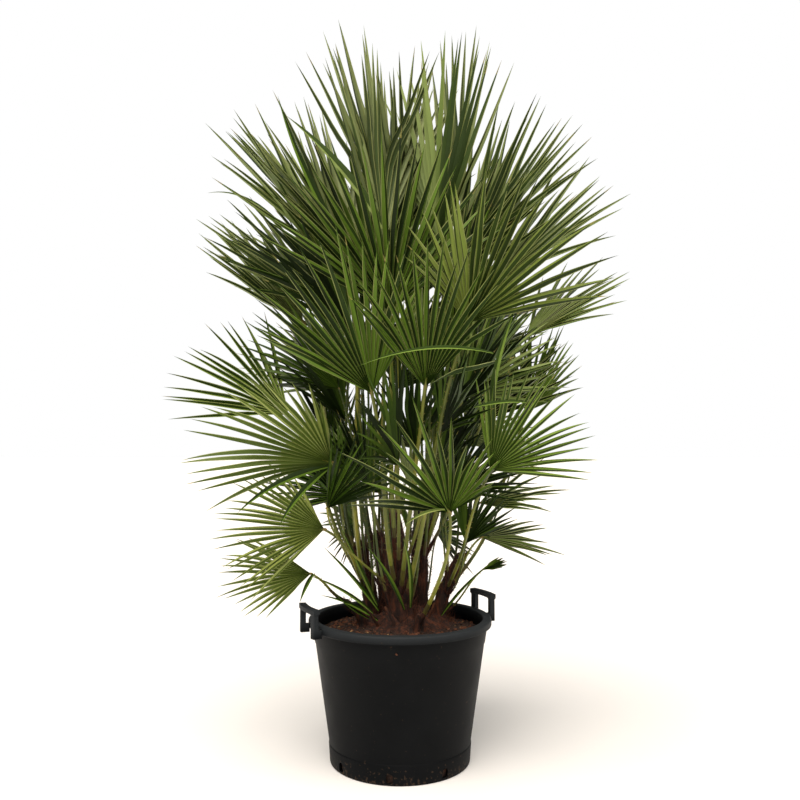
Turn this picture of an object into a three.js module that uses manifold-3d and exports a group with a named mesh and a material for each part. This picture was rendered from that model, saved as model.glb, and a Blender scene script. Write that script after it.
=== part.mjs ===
// A potted European fan palm: a clump of fibrous stems in a black nursery pot with two loop handles.
// Each stem carries stiff fans of pleated leaflets on long petioles.
// Millimetres, +Z up, -Y is the front. The origin is the centre of the pot's flat underside.
import * as THREE from "three";
import { mergeVertices } from "three/addons/utils/BufferGeometryUtils.js";
import Module from "manifold-3d";

const wasm = await Module();
wasm.setup();

const SEAT_GAP = 0.3; // left between pieces that touch
const LEAF_GAP = 0.8; // kept around leaflets and petioles
const SEED = 41;

const POT = {
  height: 322,
  footRadius: 153,
  baseRadius: 160,
  skirtHeight: 44,
  neckRadius: 199,
  bandHeight: 268,
  rimRadius: 210,
  mouthRadius: 190,
  lipHeight: 17,
  wall: 3.5,
  floor: 5,
  sides: 40,
};
const DRAIN = { count: 8, width: 15, height: 20, sill: 6, turn: -8 };
const HANDLE = {
  bearings: { handle_right: 25, handle_left: 205 },
  halfAngle: 12,
  postAngle: 4,
  outerRadius: 231,
  depth: 12,
  barFlare: 2,
  barDepth: 11,
  foot: 299,
  lugTop: 317,
  top: 362,
};
const SOIL = { top: 296, flatRadius: 145, dip: 9 };

// foot: centre on the soil. tip: centre of the bud at the top.
const STEMS = {
  main: { foot: [0, 6], tip: [-18, 12, 557], flare: 50, waist: 36, bud: 20 },
  back: { foot: [48, 84], tip: [48, 96, 582], flare: 36, waist: 25, bud: 16 },
  left: { foot: [-66, 66], tip: [-104, 66, 482], flare: 34, waist: 22, bud: 13 },
  right: { foot: [90, 50], tip: [150, 70, 457], flare: 28, waist: 19, bud: 13 },
  rear: { foot: [-34, 108], tip: [-54, 148, 502], flare: 28, waist: 21, bud: 14 },
  sprout_left: { foot: [-84, -6], tip: [-126, -14, 362], flare: 15, waist: 11, bud: 8 },
  sprout_front: { foot: [40, -64], tip: [46, -72, 340], flare: 17, waist: 12, bud: 9 },
};
const STEM_SIDES = 10;
const STEM_RINGS = 6;
const FLARE_SHARE = 0.22; // the share of a stem's height that its root flare takes

const PETIOLE = {
  footWidth: 13,
  hubWidth: 7,
  depthShare: 0.7, // of the width
  steps: 5,
  intoBlade: 0.07, // of the blade's length, run on past the hub
  highFoot: 0.9, // share of the stem's height where an upright petiole starts
  footDrop: 0.6, // how much lower a spreading one starts
  rooted: 0.35, // of the stem's radius
  fanned: 110, // degrees from upright that count as fully spreading
};
const PETIOLE_TRIES = {
  bow: [0, 14, -14, 28, -28],
  lift: [0, -0.07, 0.06, -0.14, -0.21],
  swing: [0, 14, -14, 28, -28, 42, -42, 60, -60],
};
const LIFT_TRIES = [0, 4, -4, 8, -8, 12, -12, 17, -17];
const LEAFLET = {
  spacing: 9, // degrees between neighbours
  webShare: 0.32, // of the leaflet's length, joined to its neighbours
  widestShare: 0.58,
  width: 17,
  thickness: 2.6,
  hubThickness: 6,
  hubOverlap: 4,
  foldDepth: 0.3, // of the width
  cup: 4, // degrees that a leaflet 60 degrees out is raised over the blade's plane
  sag: 0.05,
};

// Fronds that show from the front. hub: where the petiole meets the blade. lean: degrees from upright
// towards +X. fore: degrees towards the front. turn: degrees that the face is turned from the front.
// spread: degrees from the middle leaflet to the last one on its left and on its right.
// blade: length of the middle leaflet. edge: length of the last leaflets against it.
// seat: share of the stem's height where the petiole leaves it, on a frond that leaves the very top.
const FRONT_FRONDS = {
  crown_left: {
    stem: "main", hub: [-30, 40, 1237], lean: -8, fore: 0, turn: 63,
    spread: [46, 46], blade: 505, edge: 0.86,
  },
  crown_middle: {
    stem: "main", hub: [6, 130, 1252], lean: 9, fore: -3, turn: 62,
    spread: [44, 46], blade: 455, edge: 0.85,
  },
  crown_right: {
    stem: "back", hub: [115, 50, 1225], lean: 5, fore: 0, turn: -71,
    spread: [46, 46], blade: 500, edge: 0.88,
  },
  right_high: {
    stem: "back", hub: [178, 110, 1172], lean: 26, fore: -3, turn: -58,
    spread: [48, 48], blade: 445, edge: 0.88,
  },
  right_upper: {
    stem: "back", hub: [215, 35, 1094], lean: 41, fore: 4, turn: -62,
    spread: [46, 44], blade: 390, edge: 0.88,
  },
  front_right: {
    stem: "main", hub: [139, -265, 966], lean: 31, fore: 24, turn: -20,
    spread: [82, 46], blade: 345, edge: 0.6,
  },
  front_middle: {
    stem: "main", hub: [52, -225, 836], lean: 5, fore: 26, turn: 14,
    spread: [44, 62], blade: 325, edge: 0.62,
  },
  front_left: {
    stem: "main", hub: [-58, -225, 824], lean: -20, fore: 22, turn: 22,
    spread: [42, 58], blade: 362, edge: 0.62,
  },
  centre_high: {
    stem: "main", hub: [-21, -90, 1016], lean: -3, fore: 22, turn: 16,
    spread: [56, 60], blade: 412, edge: 0.85,
  },
  left_high: {
    stem: "main", hub: [-140, 30, 1128], lean: -31, fore: 4, turn: 66,
    spread: [44, 46], blade: 470, edge: 0.88,
  },
  left_higher: {
    stem: "left", hub: [-105, 100, 1152], lean: -18, fore: -3, turn: 60,
    spread: [46, 46], blade: 480, edge: 0.88,
  },
  left_mid: {
    stem: "left", hub: [-225, -12, 1002], lean: -42, fore: 4, turn: 58,
    spread: [40, 44], blade: 328, edge: 0.8,
  },
  left_side: {
    stem: "left", hub: [-256, -30, 785], lean: -52, fore: 8, turn: 26,
    spread: [40, 42], blade: 290, edge: 0.92,
  },
  left_low: {
    stem: "left", hub: [-146, -150, 679], lean: -72, fore: 22, turn: -26,
    spread: [38, 60], blade: 328, edge: 0.52,
  },
  left_skirt: {
    stem: "left", hub: [-165, -120, 533], lean: -90, fore: 18, turn: 18,
    spread: [42, 66], blade: 246, edge: 0.62,
  },
  left_droop: {
    stem: "sprout_left", hub: [-198, -80, 431], lean: -84, fore: 8, turn: 28,
    spread: [48, 32], blade: 210, edge: 0.6, seat: 0.96,
  },
  left_inner: {
    stem: "main", hub: [-155, -165, 584], lean: 40, fore: 20, turn: 24,
    spread: [36, 40], blade: 188, edge: 0.8,
  },
  front_low: {
    stem: "sprout_front", hub: [102, -220, 579], lean: -34, fore: 24, turn: -14,
    spread: [58, 96], blade: 290, edge: 0.5,
  },
  right_low: {
    stem: "right", hub: [194, -150, 662], lean: 34, fore: 22, turn: -24,
    spread: [52, 54], blade: 247, edge: 0.85,
  },
  right_mid: {
    stem: "right", hub: [314, 90, 798], lean: 28, fore: -10, turn: 34,
    spread: [22, 42], blade: 240, edge: 0.65,
  },
  right_side: {
    stem: "back", hub: [298, 10, 974], lean: 51, fore: 2, turn: -66,
    spread: [50, 50], blade: 278, edge: 0.85,
  },
  right_skirt: {
    stem: "right", hub: [192, 30, 499], lean: 88, fore: -4, turn: -62,
    spread: [44, 44], blade: 202, edge: 0.8,
  },
  right_reach: {
    stem: "right", hub: [188, 40, 578], lean: 74, fore: 0, turn: -60,
    spread: [44, 44], blade: 242, edge: 0.85,
  },
  right_young: {
    stem: "right", hub: [198, 56, 419], lean: 66, fore: 0, turn: 30,
    spread: [22, 22], blade: 62, edge: 0.8,
  },
  right_inner: {
    stem: "back", hub: [141, -60, 819], lean: 26, fore: 24, turn: -66,
    spread: [48, 48], blade: 300, edge: 0.85,
  },
  low_inner: {
    stem: "back", hub: [95, 30, 672], lean: 18, fore: 18, turn: -62,
    spread: [46, 46], blade: 270, edge: 0.85,
  },
  mid_inner: {
    stem: "main", hub: [-6, -110, 672], lean: -10, fore: 38, turn: 66,
    spread: [48, 48], blade: 270, edge: 0.85,
  },
  mid_inner_right: {
    stem: "main", hub: [88, -104, 742], lean: 14, fore: 34, turn: -66,
    spread: [46, 46], blade: 275, edge: 0.85,
  },
  left_rear: {
    stem: "left", hub: [-180, 190, 727], lean: -6, fore: -10, turn: 42,
    spread: [36, 40], blade: 245, edge: 0.85,
  },
  left_inner_high: {
    stem: "left", hub: [-113, -40, 967], lean: -24, fore: 16, turn: 64,
    spread: [46, 46], blade: 340, edge: 0.85,
  },
};

// Fronds of the far side, in tiers spread evenly round the back. from and to: bearings from +X towards +Y.
const REAR_TIERS = [
  {
    count: 4, from: 48, to: 132, reach: 215, height: 487,
    lean: 84, blade: 235, stems: ["right", "back", "rear", "left"],
  },
  {
    count: 5, from: 44, to: 132, reach: 265, height: 707,
    lean: 62, blade: 270, stems: ["right", "back", "rear", "left"],
  },
  {
    count: 5, from: 42, to: 122, reach: 250, height: 932,
    lean: 45, blade: 320, stems: ["back", "rear", "left"],
  },
  {
    count: 4, from: 50, to: 134, reach: 165, height: 1112,
    lean: 26, blade: 400, stems: ["back", "rear", "main"],
  },
];
const REAR_JITTER = { bearing: 7, height: 28, lean: 5, turn: 34 };

const COLOURS = {
  pot: { color: 0x222427, roughness: 0.55 },
  soil: { color: 0x2e1c12, roughness: 1 },
  stem: { color: 0x4a2617, roughness: 0.95 },
  frond: { color: 0x4c6b2b, roughness: 0.5 },
};

const degrees = THREE.MathUtils.degToRad;
const lerp = THREE.MathUtils.lerp;
const at = (array) => new THREE.Vector3(...array);
const mix = (a, b, share) => a.clone().lerp(b, share);
const along = (start, direction, distance) => start.clone().addScaledVector(direction, distance);

// A repeatable run of numbers from 0 to 1.
function randomFrom(seed) {
  let state = seed >>> 0;
  return () => {
    state = (state + 0x6d2b79f5) >>> 0;
    let t = state;
    t = Math.imul(t ^ (t >>> 15), t | 1);
    t ^= t + Math.imul(t ^ (t >>> 7), t | 61);
    return ((t ^ (t >>> 14)) >>> 0) / 4294967296;
  };
}

// Geometry to solid and back

function solidOf(geometry) {
  const bare = geometry.clone();
  bare.deleteAttribute("normal");
  bare.deleteAttribute("uv");
  const merged = mergeVertices(bare, 1e-3);
  const mesh = new wasm.Mesh({
    numProp: 3,
    vertProperties: merged.attributes.position.array,
    triVerts: new Uint32Array(merged.index.array),
  });
  return new wasm.Manifold(mesh);
}

function shell(points, faces) {
  const geometry = new THREE.BufferGeometry().setFromPoints(points);
  geometry.setIndex(faces.flat());
  return solidOf(geometry);
}

function nodeOf(name, solid, finish) {
  const { vertProperties, triVerts } = solid.getMesh();
  const geometry = new THREE.BufferGeometry();
  geometry.setAttribute("position", new THREE.BufferAttribute(vertProperties, 3));
  geometry.setIndex(new THREE.BufferAttribute(triVerts, 1));
  geometry.computeVertexNormals();
  const material = new THREE.MeshStandardMaterial({ ...COLOURS[finish], metalness: 0 });
  const mesh = new THREE.Mesh(geometry, material);
  mesh.name = name;
  return mesh;
}

// Joins rings of equal length, each counter-clockwise seen from the end, and closes both ends.
function loft(rings) {
  const sides = rings[0].length;
  const points = rings.flat();
  const faces = [];
  for (let i = 1; i < sides - 1; i++) {
    faces.push([0, i + 1, i]);
    const last = (rings.length - 1) * sides;
    faces.push([last, last + i, last + i + 1]);
  }
  for (let ring = 0; ring < rings.length - 1; ring++) {
    for (let i = 0; i < sides; i++) {
      const a = ring * sides + i;
      const b = ring * sides + ((i + 1) % sides);
      faces.push([a, b, b + sides], [a, b + sides, a + sides]);
    }
  }
  return shell(points, faces);
}

function boxesMeet(a, b) {
  return [0, 1, 2].every((axis) => a.min[axis] < b.max[axis] && b.min[axis] < a.max[axis]);
}

function touches(solid, others) {
  const box = solid.boundingBox();
  return others.some((other) => {
    if (!boxesMeet(box, other.box)) return false;
    const common = solid.intersect(other.solid);
    const hit = !common.isEmpty();
    common.delete();
    return hit;
  });
}

const boxed = (solid) => ({ solid, box: solid.boundingBox() });
const largestOf = (solid) => solid.decompose().sort((a, b) => b.volume() - a.volume())[0];

// Pot

// Radius of the pot's outside at a height, between its skirt and its lip.
function potOutside(z) {
  const share = (z - POT.skirtHeight) / (POT.height - POT.lipHeight - POT.skirtHeight);
  return lerp(POT.baseRadius + 2, POT.neckRadius, share);
}

const potInside = (z) => potOutside(z) - POT.wall;

function potProfile() {
  const lipFoot = POT.height - POT.lipHeight;
  const step = 1.5;
  return [
    [0, 0],
    [POT.footRadius, 0],
    [POT.baseRadius, 5],
    [POT.baseRadius + 3, POT.skirtHeight - 1],
    [potOutside(POT.skirtHeight), POT.skirtHeight],
    [potOutside(POT.bandHeight), POT.bandHeight],
    [potOutside(POT.bandHeight) + step, POT.bandHeight + 2],
    [POT.neckRadius + step, lipFoot],
    [POT.rimRadius - 2, lipFoot],
    [POT.rimRadius, lipFoot + 4],
    [POT.rimRadius, POT.height - 5],
    [POT.rimRadius - 5, POT.height],
    [POT.mouthRadius + 2, POT.height],
    [POT.mouthRadius, POT.height - 3],
    [potInside(SOIL.top), SOIL.top - 12],
    [potInside(POT.floor), POT.floor],
    [0, POT.floor],
  ].map(([r, z]) => new THREE.Vector2(r, z));
}

function turned(profile) {
  return solidOf(new THREE.LatheGeometry(profile, POT.sides).rotateX(Math.PI / 2));
}

// One arched drain slot, cut through the wall at the foot of the pot.
function drainSlot(bearing) {
  const arch = new THREE.Shape();
  const half = DRAIN.width / 2;
  arch.moveTo(-half, DRAIN.sill);
  arch.lineTo(half, DRAIN.sill);
  arch.lineTo(half, DRAIN.sill + DRAIN.height - half);
  arch.absarc(0, DRAIN.sill + DRAIN.height - half, half, 0, Math.PI, false);
  const depth = 24;
  const geometry = new THREE.ExtrudeGeometry(arch, { depth, bevelEnabled: false, curveSegments: 4 });
  geometry.translate(0, 0, POT.baseRadius - depth / 2).rotateX(Math.PI / 2);
  return solidOf(geometry.rotateZ(degrees(bearing)));
}

function makePot() {
  let pot = turned(potProfile());
  for (let i = 0; i < DRAIN.count; i++) {
    pot = pot.subtract(drainSlot(DRAIN.turn + (i * 360) / DRAIN.count));
  }
  return pot;
}

// A block bent to the pot's circle, between two radii, two bearings and two heights.
function ringBlock(inner, outer, from, to, low, high) {
  const outline = new THREE.Shape();
  outline.absarc(0, 0, outer, degrees(from), degrees(to), false);
  outline.absarc(0, 0, inner, degrees(to), degrees(from), true);
  const geometry = new THREE.ExtrudeGeometry(outline, {
    depth: high - low,
    bevelEnabled: false,
    curveSegments: 3,
  });
  return solidOf(geometry.translate(0, 0, low));
}

// A loop of two posts and a top bar. A lug at the foot of each post reaches in to the lip.
function makeHandle(bearing, lip) {
  const { outerRadius, depth, halfAngle, postAngle, foot, lugTop, top, barDepth, barFlare } = HANDLE;
  const innerRadius = outerRadius - depth;
  const [low, high] = [bearing - halfAngle, bearing + halfAngle];
  const barFoot = top - barDepth;
  const posts = [low, high - postAngle].map((from) =>
    ringBlock(innerRadius, outerRadius, from, from + postAngle, foot, barFoot + 1).add(
      ringBlock(POT.rimRadius - 3, innerRadius + 1, from, from + postAngle, foot, lugTop),
    ),
  );
  const bar = ringBlock(innerRadius - barFlare, outerRadius + barFlare, low - 0.6, high + 0.6, barFoot, top);
  return largestOf(bar.add(posts[0]).add(posts[1]).subtract(lip));
}

// The lip grown by the seat gap, which the handles are cut clear of.
function grownLip() {
  const low = POT.height - POT.lipHeight - 40;
  const outer = POT.rimRadius + SEAT_GAP;
  const profile = [
    [0, low],
    [POT.neckRadius + 2, low],
    [POT.neckRadius + 2, POT.height - POT.lipHeight - SEAT_GAP],
    [outer, POT.height - POT.lipHeight - SEAT_GAP],
    [outer, POT.height - 5 + SEAT_GAP],
    [POT.rimRadius - 5 + SEAT_GAP, POT.height + SEAT_GAP],
    [0, POT.height + SEAT_GAP],
  ];
  return turned(profile.map(([r, z]) => new THREE.Vector2(r, z)));
}

function makeSoil() {
  const floor = POT.floor + SEAT_GAP;
  const edge = SOIL.top - SOIL.dip;
  const profile = [
    [0, floor],
    [potInside(floor) - SEAT_GAP, floor],
    [potInside(edge) - SEAT_GAP - 2, edge],
    [SOIL.flatRadius, SOIL.top],
    [0, SOIL.top],
  ];
  return turned(profile.map(([r, z]) => new THREE.Vector2(r, z)));
}

// Stems

// Centre of a stem at a share of its height: upright at the foot, then leaning to its tip.
function stemCentre(stem, share) {
  const foot = at([...stem.foot, SOIL.top + SEAT_GAP]);
  const tip = at(stem.tip);
  const bend = foot.clone().setZ(lerp(foot.z, tip.z, 0.4));
  return new THREE.QuadraticBezierCurve3(foot, bend, tip).getPoint(share);
}

function stemDirection(stem, share) {
  const step = 0.02;
  return stemCentre(stem, share).sub(stemCentre(stem, share - step)).normalize();
}

function stemRadius(stem, share) {
  const flare = Math.max(0, 1 - share / FLARE_SHARE) ** 2 * (stem.flare - stem.waist);
  const crown = Math.max(0, (share - 0.5) / 0.5) ** 1.5;
  return lerp(stem.waist, stem.bud, crown) + flare;
}

function makeStem(stem, grow) {
  const rings = [];
  for (let i = 0; i <= STEM_RINGS; i++) {
    const share = (i / STEM_RINGS) ** 1.25;
    const centre = stemCentre(stem, share);
    const radius = stemRadius(stem, share) + grow;
    if (i === 0) centre.z -= grow;
    if (i === STEM_RINGS) centre.z += grow;
    rings.push(
      Array.from({ length: STEM_SIDES }, (_, side) => {
        const angle = (side / STEM_SIDES) * 2 * Math.PI;
        const outwards = new THREE.Vector3(Math.cos(angle), Math.sin(angle), 0);
        return centre.clone().addScaledVector(outwards, radius);
      }),
    );
  }
  return loft(rings);
}

// Fronds

// Axes of a blade: axis along its middle leaflet, face out of its upper side, side across it.
function bladeFrame(frond) {
  const [lean, fore] = [degrees(frond.lean), degrees(frond.fore)];
  const axis = new THREE.Vector3(
    Math.sin(lean) * Math.cos(fore),
    -Math.sin(fore),
    Math.cos(lean) * Math.cos(fore),
  );
  const front = new THREE.Vector3(0, -1, 0);
  const face = front.addScaledVector(axis, -front.dot(axis)).normalize();
  face.applyAxisAngle(axis, degrees(frond.turn));
  return { axis, face, side: new THREE.Vector3().crossVectors(face, axis) };
}

// The upper side of a palm's blade looks up and in, towards its stem.
function faceInwards(frame, frond, stem) {
  const tip = at(stem.tip);
  const inwards = tip.sub(at(frond.hub)).setZ(0).normalize().add(new THREE.Vector3(0, 0, 1));
  if (frame.face.dot(inwards) >= 0) return frame;
  const face = frame.face.clone().negate();
  return { axis: frame.axis, face, side: frame.side.clone().negate(), mirrored: true };
}

// The petiole's centre line, from inside its stem to the hub of the blade.
function petioleCurve(frond, stem, frame, nudge) {
  const hub = at(frond.hub);
  const tip = at(stem.tip);
  const reach = hub.clone().sub(tip);
  const outwards = Math.atan2(Math.hypot(reach.x, reach.y), reach.z) / degrees(PETIOLE.fanned);
  const seat = frond.seat ?? PETIOLE.highFoot - PETIOLE.footDrop * outwards;
  const share = THREE.MathUtils.clamp(seat + nudge.lift, 0.25, 0.96);
  const start = stemCentre(stem, share);
  const bearing = Math.atan2(reach.y, reach.x) + degrees(nudge.swing);
  const radial = new THREE.Vector3(Math.cos(bearing), Math.sin(bearing), 0);
  start.addScaledVector(radial, stemRadius(stem, share) * PETIOLE.rooted);
  const leave = stemDirection(stem, share).addScaledVector(radial, 0.3 + 1.1 * outwards).normalize();
  const length = hub.distanceTo(start);
  const chord = hub.clone().sub(start).normalize();
  const arrive = mix(chord, frame.axis, 0.45).normalize();
  const sideways = new THREE.Vector3().crossVectors(chord, leave).normalize();
  const curve = new THREE.CubicBezierCurve3(
    start,
    along(start, leave, length * 0.4).addScaledVector(sideways, nudge.bow),
    along(hub, arrive, -length * 0.35).addScaledVector(sideways, nudge.bow),
    hub,
  );
  return { curve, radial };
}

function makePetiole({ curve, radial }, frond, frame, grow) {
  const upper = radial.clone().negate();
  const face = frame.face.dot(upper) < 0 ? frame.face.clone().negate() : frame.face;
  const rings = [];
  for (let i = 0; i <= PETIOLE.steps + 1; i++) {
    const share = Math.min(i / PETIOLE.steps, 1);
    const tangent = curve.getTangent(share);
    const side = new THREE.Vector3().crossVectors(mix(upper, face, share), tangent).normalize();
    const out = new THREE.Vector3().crossVectors(tangent, side);
    const centre = curve.getPoint(share);
    let width = lerp(PETIOLE.footWidth, PETIOLE.hubWidth, Math.sqrt(share)) * petioleScale(frond);
    if (i > PETIOLE.steps) {
      centre.addScaledVector(frame.axis, frond.blade * PETIOLE.intoBlade);
      width *= 0.7;
    }
    const half = width / 2 + grow * 1.6;
    const depth = width * PETIOLE.depthShare + grow * 1.6;
    rings.push([
      along(centre, side, -half).addScaledVector(out, depth * 0.4),
      along(centre, out, -depth * 0.6),
      along(centre, side, half).addScaledVector(out, depth * 0.4),
    ]);
  }
  return loft(rings);
}

const petioleScale = (frond) => THREE.MathUtils.clamp(frond.blade / 300, 0.55, 1.15);

// The leaflets of a blade, from one side to the other, as angle, length and lift out of the blade's plane.
function leafletsOf(frond, frame, random) {
  const [high, low] = frame.mirrored ? [...frond.spread].reverse() : frond.spread;
  const count = Math.max(4, Math.round((high + low) / LEAFLET.spacing));
  const step = (high + low) / count;
  return Array.from({ length: count }, (_, i) => {
    const angle = -low + step * (i + 0.5);
    const outer = Math.abs(angle) / Math.max(high, low);
    const length = frond.blade * lerp(1, frond.edge, outer ** 2) * lerp(0.95, 1.03, random());
    return { from: angle - step / 2, to: angle + step / 2, angle, length, lift: lerp(-3, 3, random()) };
  });
}

// The shell of neighbouring leaflets: pleats joined in a web near the hub, then free points.
function makeBlade(frond, frame, leaflets, grow) {
  const hub = at(frond.hub);
  const gravity = new THREE.Vector3(0, 0, -1);
  const towards = (angle, lift) =>
    new THREE.Vector3()
      .addScaledVector(frame.axis, Math.cos(degrees(angle)) * Math.cos(degrees(lift)))
      .addScaledVector(frame.side, Math.sin(degrees(angle)) * Math.cos(degrees(lift)))
      .addScaledVector(frame.face, Math.sin(degrees(lift)));
  const web = frond.blade * LEAFLET.webShare;
  const cupAt = (angle) => LEAFLET.cup * (angle / 60) ** 2;
  const spread = degrees(leaflets[0].to - leaflets[0].from);
  const width = Math.min(LEAFLET.width, 0.78 * spread * frond.blade * LEAFLET.widestShare);
  const thick = LEAFLET.thickness / 2 + grow;
  const hubThick = LEAFLET.hubThickness / 2 + grow;
  const grownAngle = THREE.MathUtils.radToDeg(grow / web);

  // The point of the fan lies a little behind the hub, so that the parts of a parted blade overlap there.
  const heading = towards((leaflets[0].from + leaflets.at(-1).to) / 2, 0);
  const apex = along(hub, heading, -LEAFLET.hubOverlap);
  const points = [along(apex, frame.face, hubThick), along(apex, frame.face, -hubThick)];
  const faces = [];
  const add = (point) => points.push(point) - 1;
  const notch = (angle) => {
    const point = along(hub, towards(angle, cupAt(angle)), web);
    return [add(along(point, frame.face, thick)), add(along(point, frame.face, -thick))];
  };
  let [startTop, startBottom] = notch(leaflets[0].from - grownAngle);
  faces.push([0, 1, startBottom], [0, startBottom, startTop]);
  leaflets.forEach((leaflet, i) => {
    const last = i === leaflets.length - 1;
    const [endTop, endBottom] = notch(leaflet.to + (last ? grownAngle : 0));
    const cup = cupAt(leaflet.angle);
    const fold = spread * web * LEAFLET.foldDepth;
    const valley = along(hub, towards(leaflet.angle, cup), web).addScaledVector(frame.face, -fold);
    const keelTop = add(along(valley, frame.face, thick));
    const keelBottom = add(along(valley, frame.face, -thick));
    faces.push([0, startTop, keelTop], [0, keelTop, endTop]);
    faces.push([1, keelBottom, startBottom], [1, endBottom, keelBottom]);

    const out = towards(leaflet.angle, cup + leaflet.lift);
    const across = new THREE.Vector3().crossVectors(frame.face, out).normalize();
    const above = new THREE.Vector3().crossVectors(out, across);
    const root = along(hub, towards(leaflet.angle, cup), web);
    const free = leaflet.length - web;
    const widest = (LEAFLET.widestShare * frond.blade - web) * (leaflet.length / frond.blade);
    const middle = along(root, out, widest);
    const half = width / 2 + grow;
    const left = add(along(middle, across, -half).addScaledVector(above, grow));
    const right = add(along(middle, across, half).addScaledVector(above, grow));
    const keel = add(along(middle, above, -width * LEAFLET.foldDepth - grow));
    const tip = add(along(root, out, free + grow * 3).addScaledVector(gravity, leaflet.length * LEAFLET.sag));
    faces.push([startTop, left, keelTop], [keelTop, left, right], [keelTop, right, endTop]);
    faces.push([endTop, right, endBottom], [endBottom, right, keel], [endBottom, keel, keelBottom]);
    faces.push([keelBottom, keel, startBottom], [startBottom, keel, left], [startBottom, left, startTop]);
    faces.push([left, tip, right], [right, tip, keel], [keel, tip, left]);
    [startTop, startBottom] = [endTop, endBottom];
  });
  faces.push([0, startTop, startBottom], [0, startBottom, 1]);
  return shell(points, faces);
}

// The fronds of the far side, given the same sizes as those of the front by a seeded rule.
function rearFronds(random) {
  const vary = (amount) => lerp(-amount, amount, random());
  const fronds = {};
  REAR_TIERS.forEach((tier, tierIndex) => {
    for (let i = 0; i < tier.count; i++) {
      const bearing = degrees(lerp(tier.from, tier.to, (i + 0.5) / tier.count) + vary(REAR_JITTER.bearing));
      const z = tier.height + vary(REAR_JITTER.height);
      const hub = [tier.reach * Math.cos(bearing), tier.reach * Math.sin(bearing), z];
      const tilt = degrees(tier.lean + vary(REAR_JITTER.lean));
      const away = Math.sin(tilt) * Math.sin(bearing);
      const nearest = (name) => Math.hypot(STEMS[name].tip[0] - hub[0], STEMS[name].tip[1] - hub[1]);
      const stem = [...tier.stems].sort((a, b) => nearest(a) - nearest(b))[0];
      fronds[`rear_${tierIndex + 1}_${i + 1}`] = {
        stem,
        hub,
        lean: THREE.MathUtils.radToDeg(Math.atan2(Math.sin(tilt) * Math.cos(bearing), Math.cos(tilt))),
        fore: -THREE.MathUtils.radToDeg(Math.asin(away)),
        turn: vary(REAR_JITTER.turn),
        spread: [50, 50],
        blade: tier.blade,
        edge: 0.8,
      };
    }
  });
  return fronds;
}

// Tries a petiole at its own place, then swung, lifted and bowed, until it is clear of the others.
function placePetiole(frond, stem, frame, placed) {
  for (const bow of PETIOLE_TRIES.bow) {
    for (const lift of PETIOLE_TRIES.lift) {
      for (const swing of PETIOLE_TRIES.swing) {
        const path = petioleCurve(frond, stem, frame, { bow, lift, swing });
        const body = makePetiole(path, frond, frame, LEAF_GAP).subtract(stem.grown);
        if (!touches(body, placed)) return makePetiole(path, frond, frame, 0).subtract(stem.grown);
      }
    }
  }
  return null;
}

// Lifts each leaflet out of the way of what is there already, and leaves it out where it stays blocked.
function placeLeaflets(frond, frame, leaflets, placed) {
  const kept = [[]];
  for (const leaflet of leaflets) {
    const lifted = LIFT_TRIES.map((more) => ({ ...leaflet, lift: leaflet.lift + more }))
      .find((trial) => !touches(makeBlade(frond, frame, [trial], LEAF_GAP), placed));
    if (lifted) kept.at(-1).push(lifted);
    else if (kept.at(-1).length) kept.push([]);
  }
  return kept.filter((run) => run.length);
}

// Assembly

const random = randomFrom(SEED);
const palm = new THREE.Group();
palm.name = "potted_fan_palm";

const pot = makePot();
const lip = grownLip();
palm.add(nodeOf("pot", pot, "pot"));
for (const [name, bearing] of Object.entries(HANDLE.bearings)) {
  palm.add(nodeOf(name, makeHandle(bearing, lip), "pot"));
}
palm.add(nodeOf("soil", makeSoil(), "soil"));

// Stems that crowd each other at the foot are cut to meet.
const stemsDone = [];
for (const [name, stem] of Object.entries(STEMS)) {
  stem.grown = makeStem(stem, SEAT_GAP);
  const body = stemsDone.reduce((left, other) => left.subtract(other), makeStem(stem, 0));
  palm.add(nodeOf(`stem_${name}`, largestOf(body), "stem"));
  stemsDone.push(stem.grown);
}

const fronds = Object.entries({ ...FRONT_FRONDS, ...rearFronds(random) }).map(([name, frond]) => {
  const stem = STEMS[frond.stem];
  const frame = faceInwards(bladeFrame(frond), frond, stem);
  return { name, frond, stem, frame, leaflets: leafletsOf(frond, frame, random) };
});

const petioles = [];
for (const each of fronds) {
  const otherStems = Object.values(STEMS).filter((stem) => stem !== each.stem);
  const inTheWay = [...petioles, ...otherStems.map((stem) => boxed(stem.grown))];
  each.petiole = placePetiole(each.frond, each.stem, each.frame, inTheWay);
  if (!each.petiole) throw new Error(`${each.name}: its petiole has no clear way`);
  petioles.push(boxed(each.petiole));
}

const blades = [];
fronds.forEach((each, i) => {
  const { name, frond, frame } = each;
  const inTheWay = [...petioles.filter((_, other) => other !== i), ...blades];
  const runs = placeLeaflets(frond, frame, each.leaflets, inTheWay);
  const blade = runs.map((run) => makeBlade(frond, frame, run, 0));
  const whole = largestOf(blade.reduce((sum, run) => sum.add(run), each.petiole).simplify(0.02));
  blades.push(boxed(whole));
  palm.add(nodeOf(`frond_${name}`, whole, "frond"));
});

export default palm;
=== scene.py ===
# A potted European fan palm around its CAD frame: fine fans on thorned petioles, fibrous stems,
# bark potting mix and a black nursery pot. Sizes in the dictionaries are millimetres and degrees.
import math

import bmesh
import bpy
import numpy as np
from mathutils import Matrix, Vector, noise
from mathutils.bvhtree import BVHTree


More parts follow.
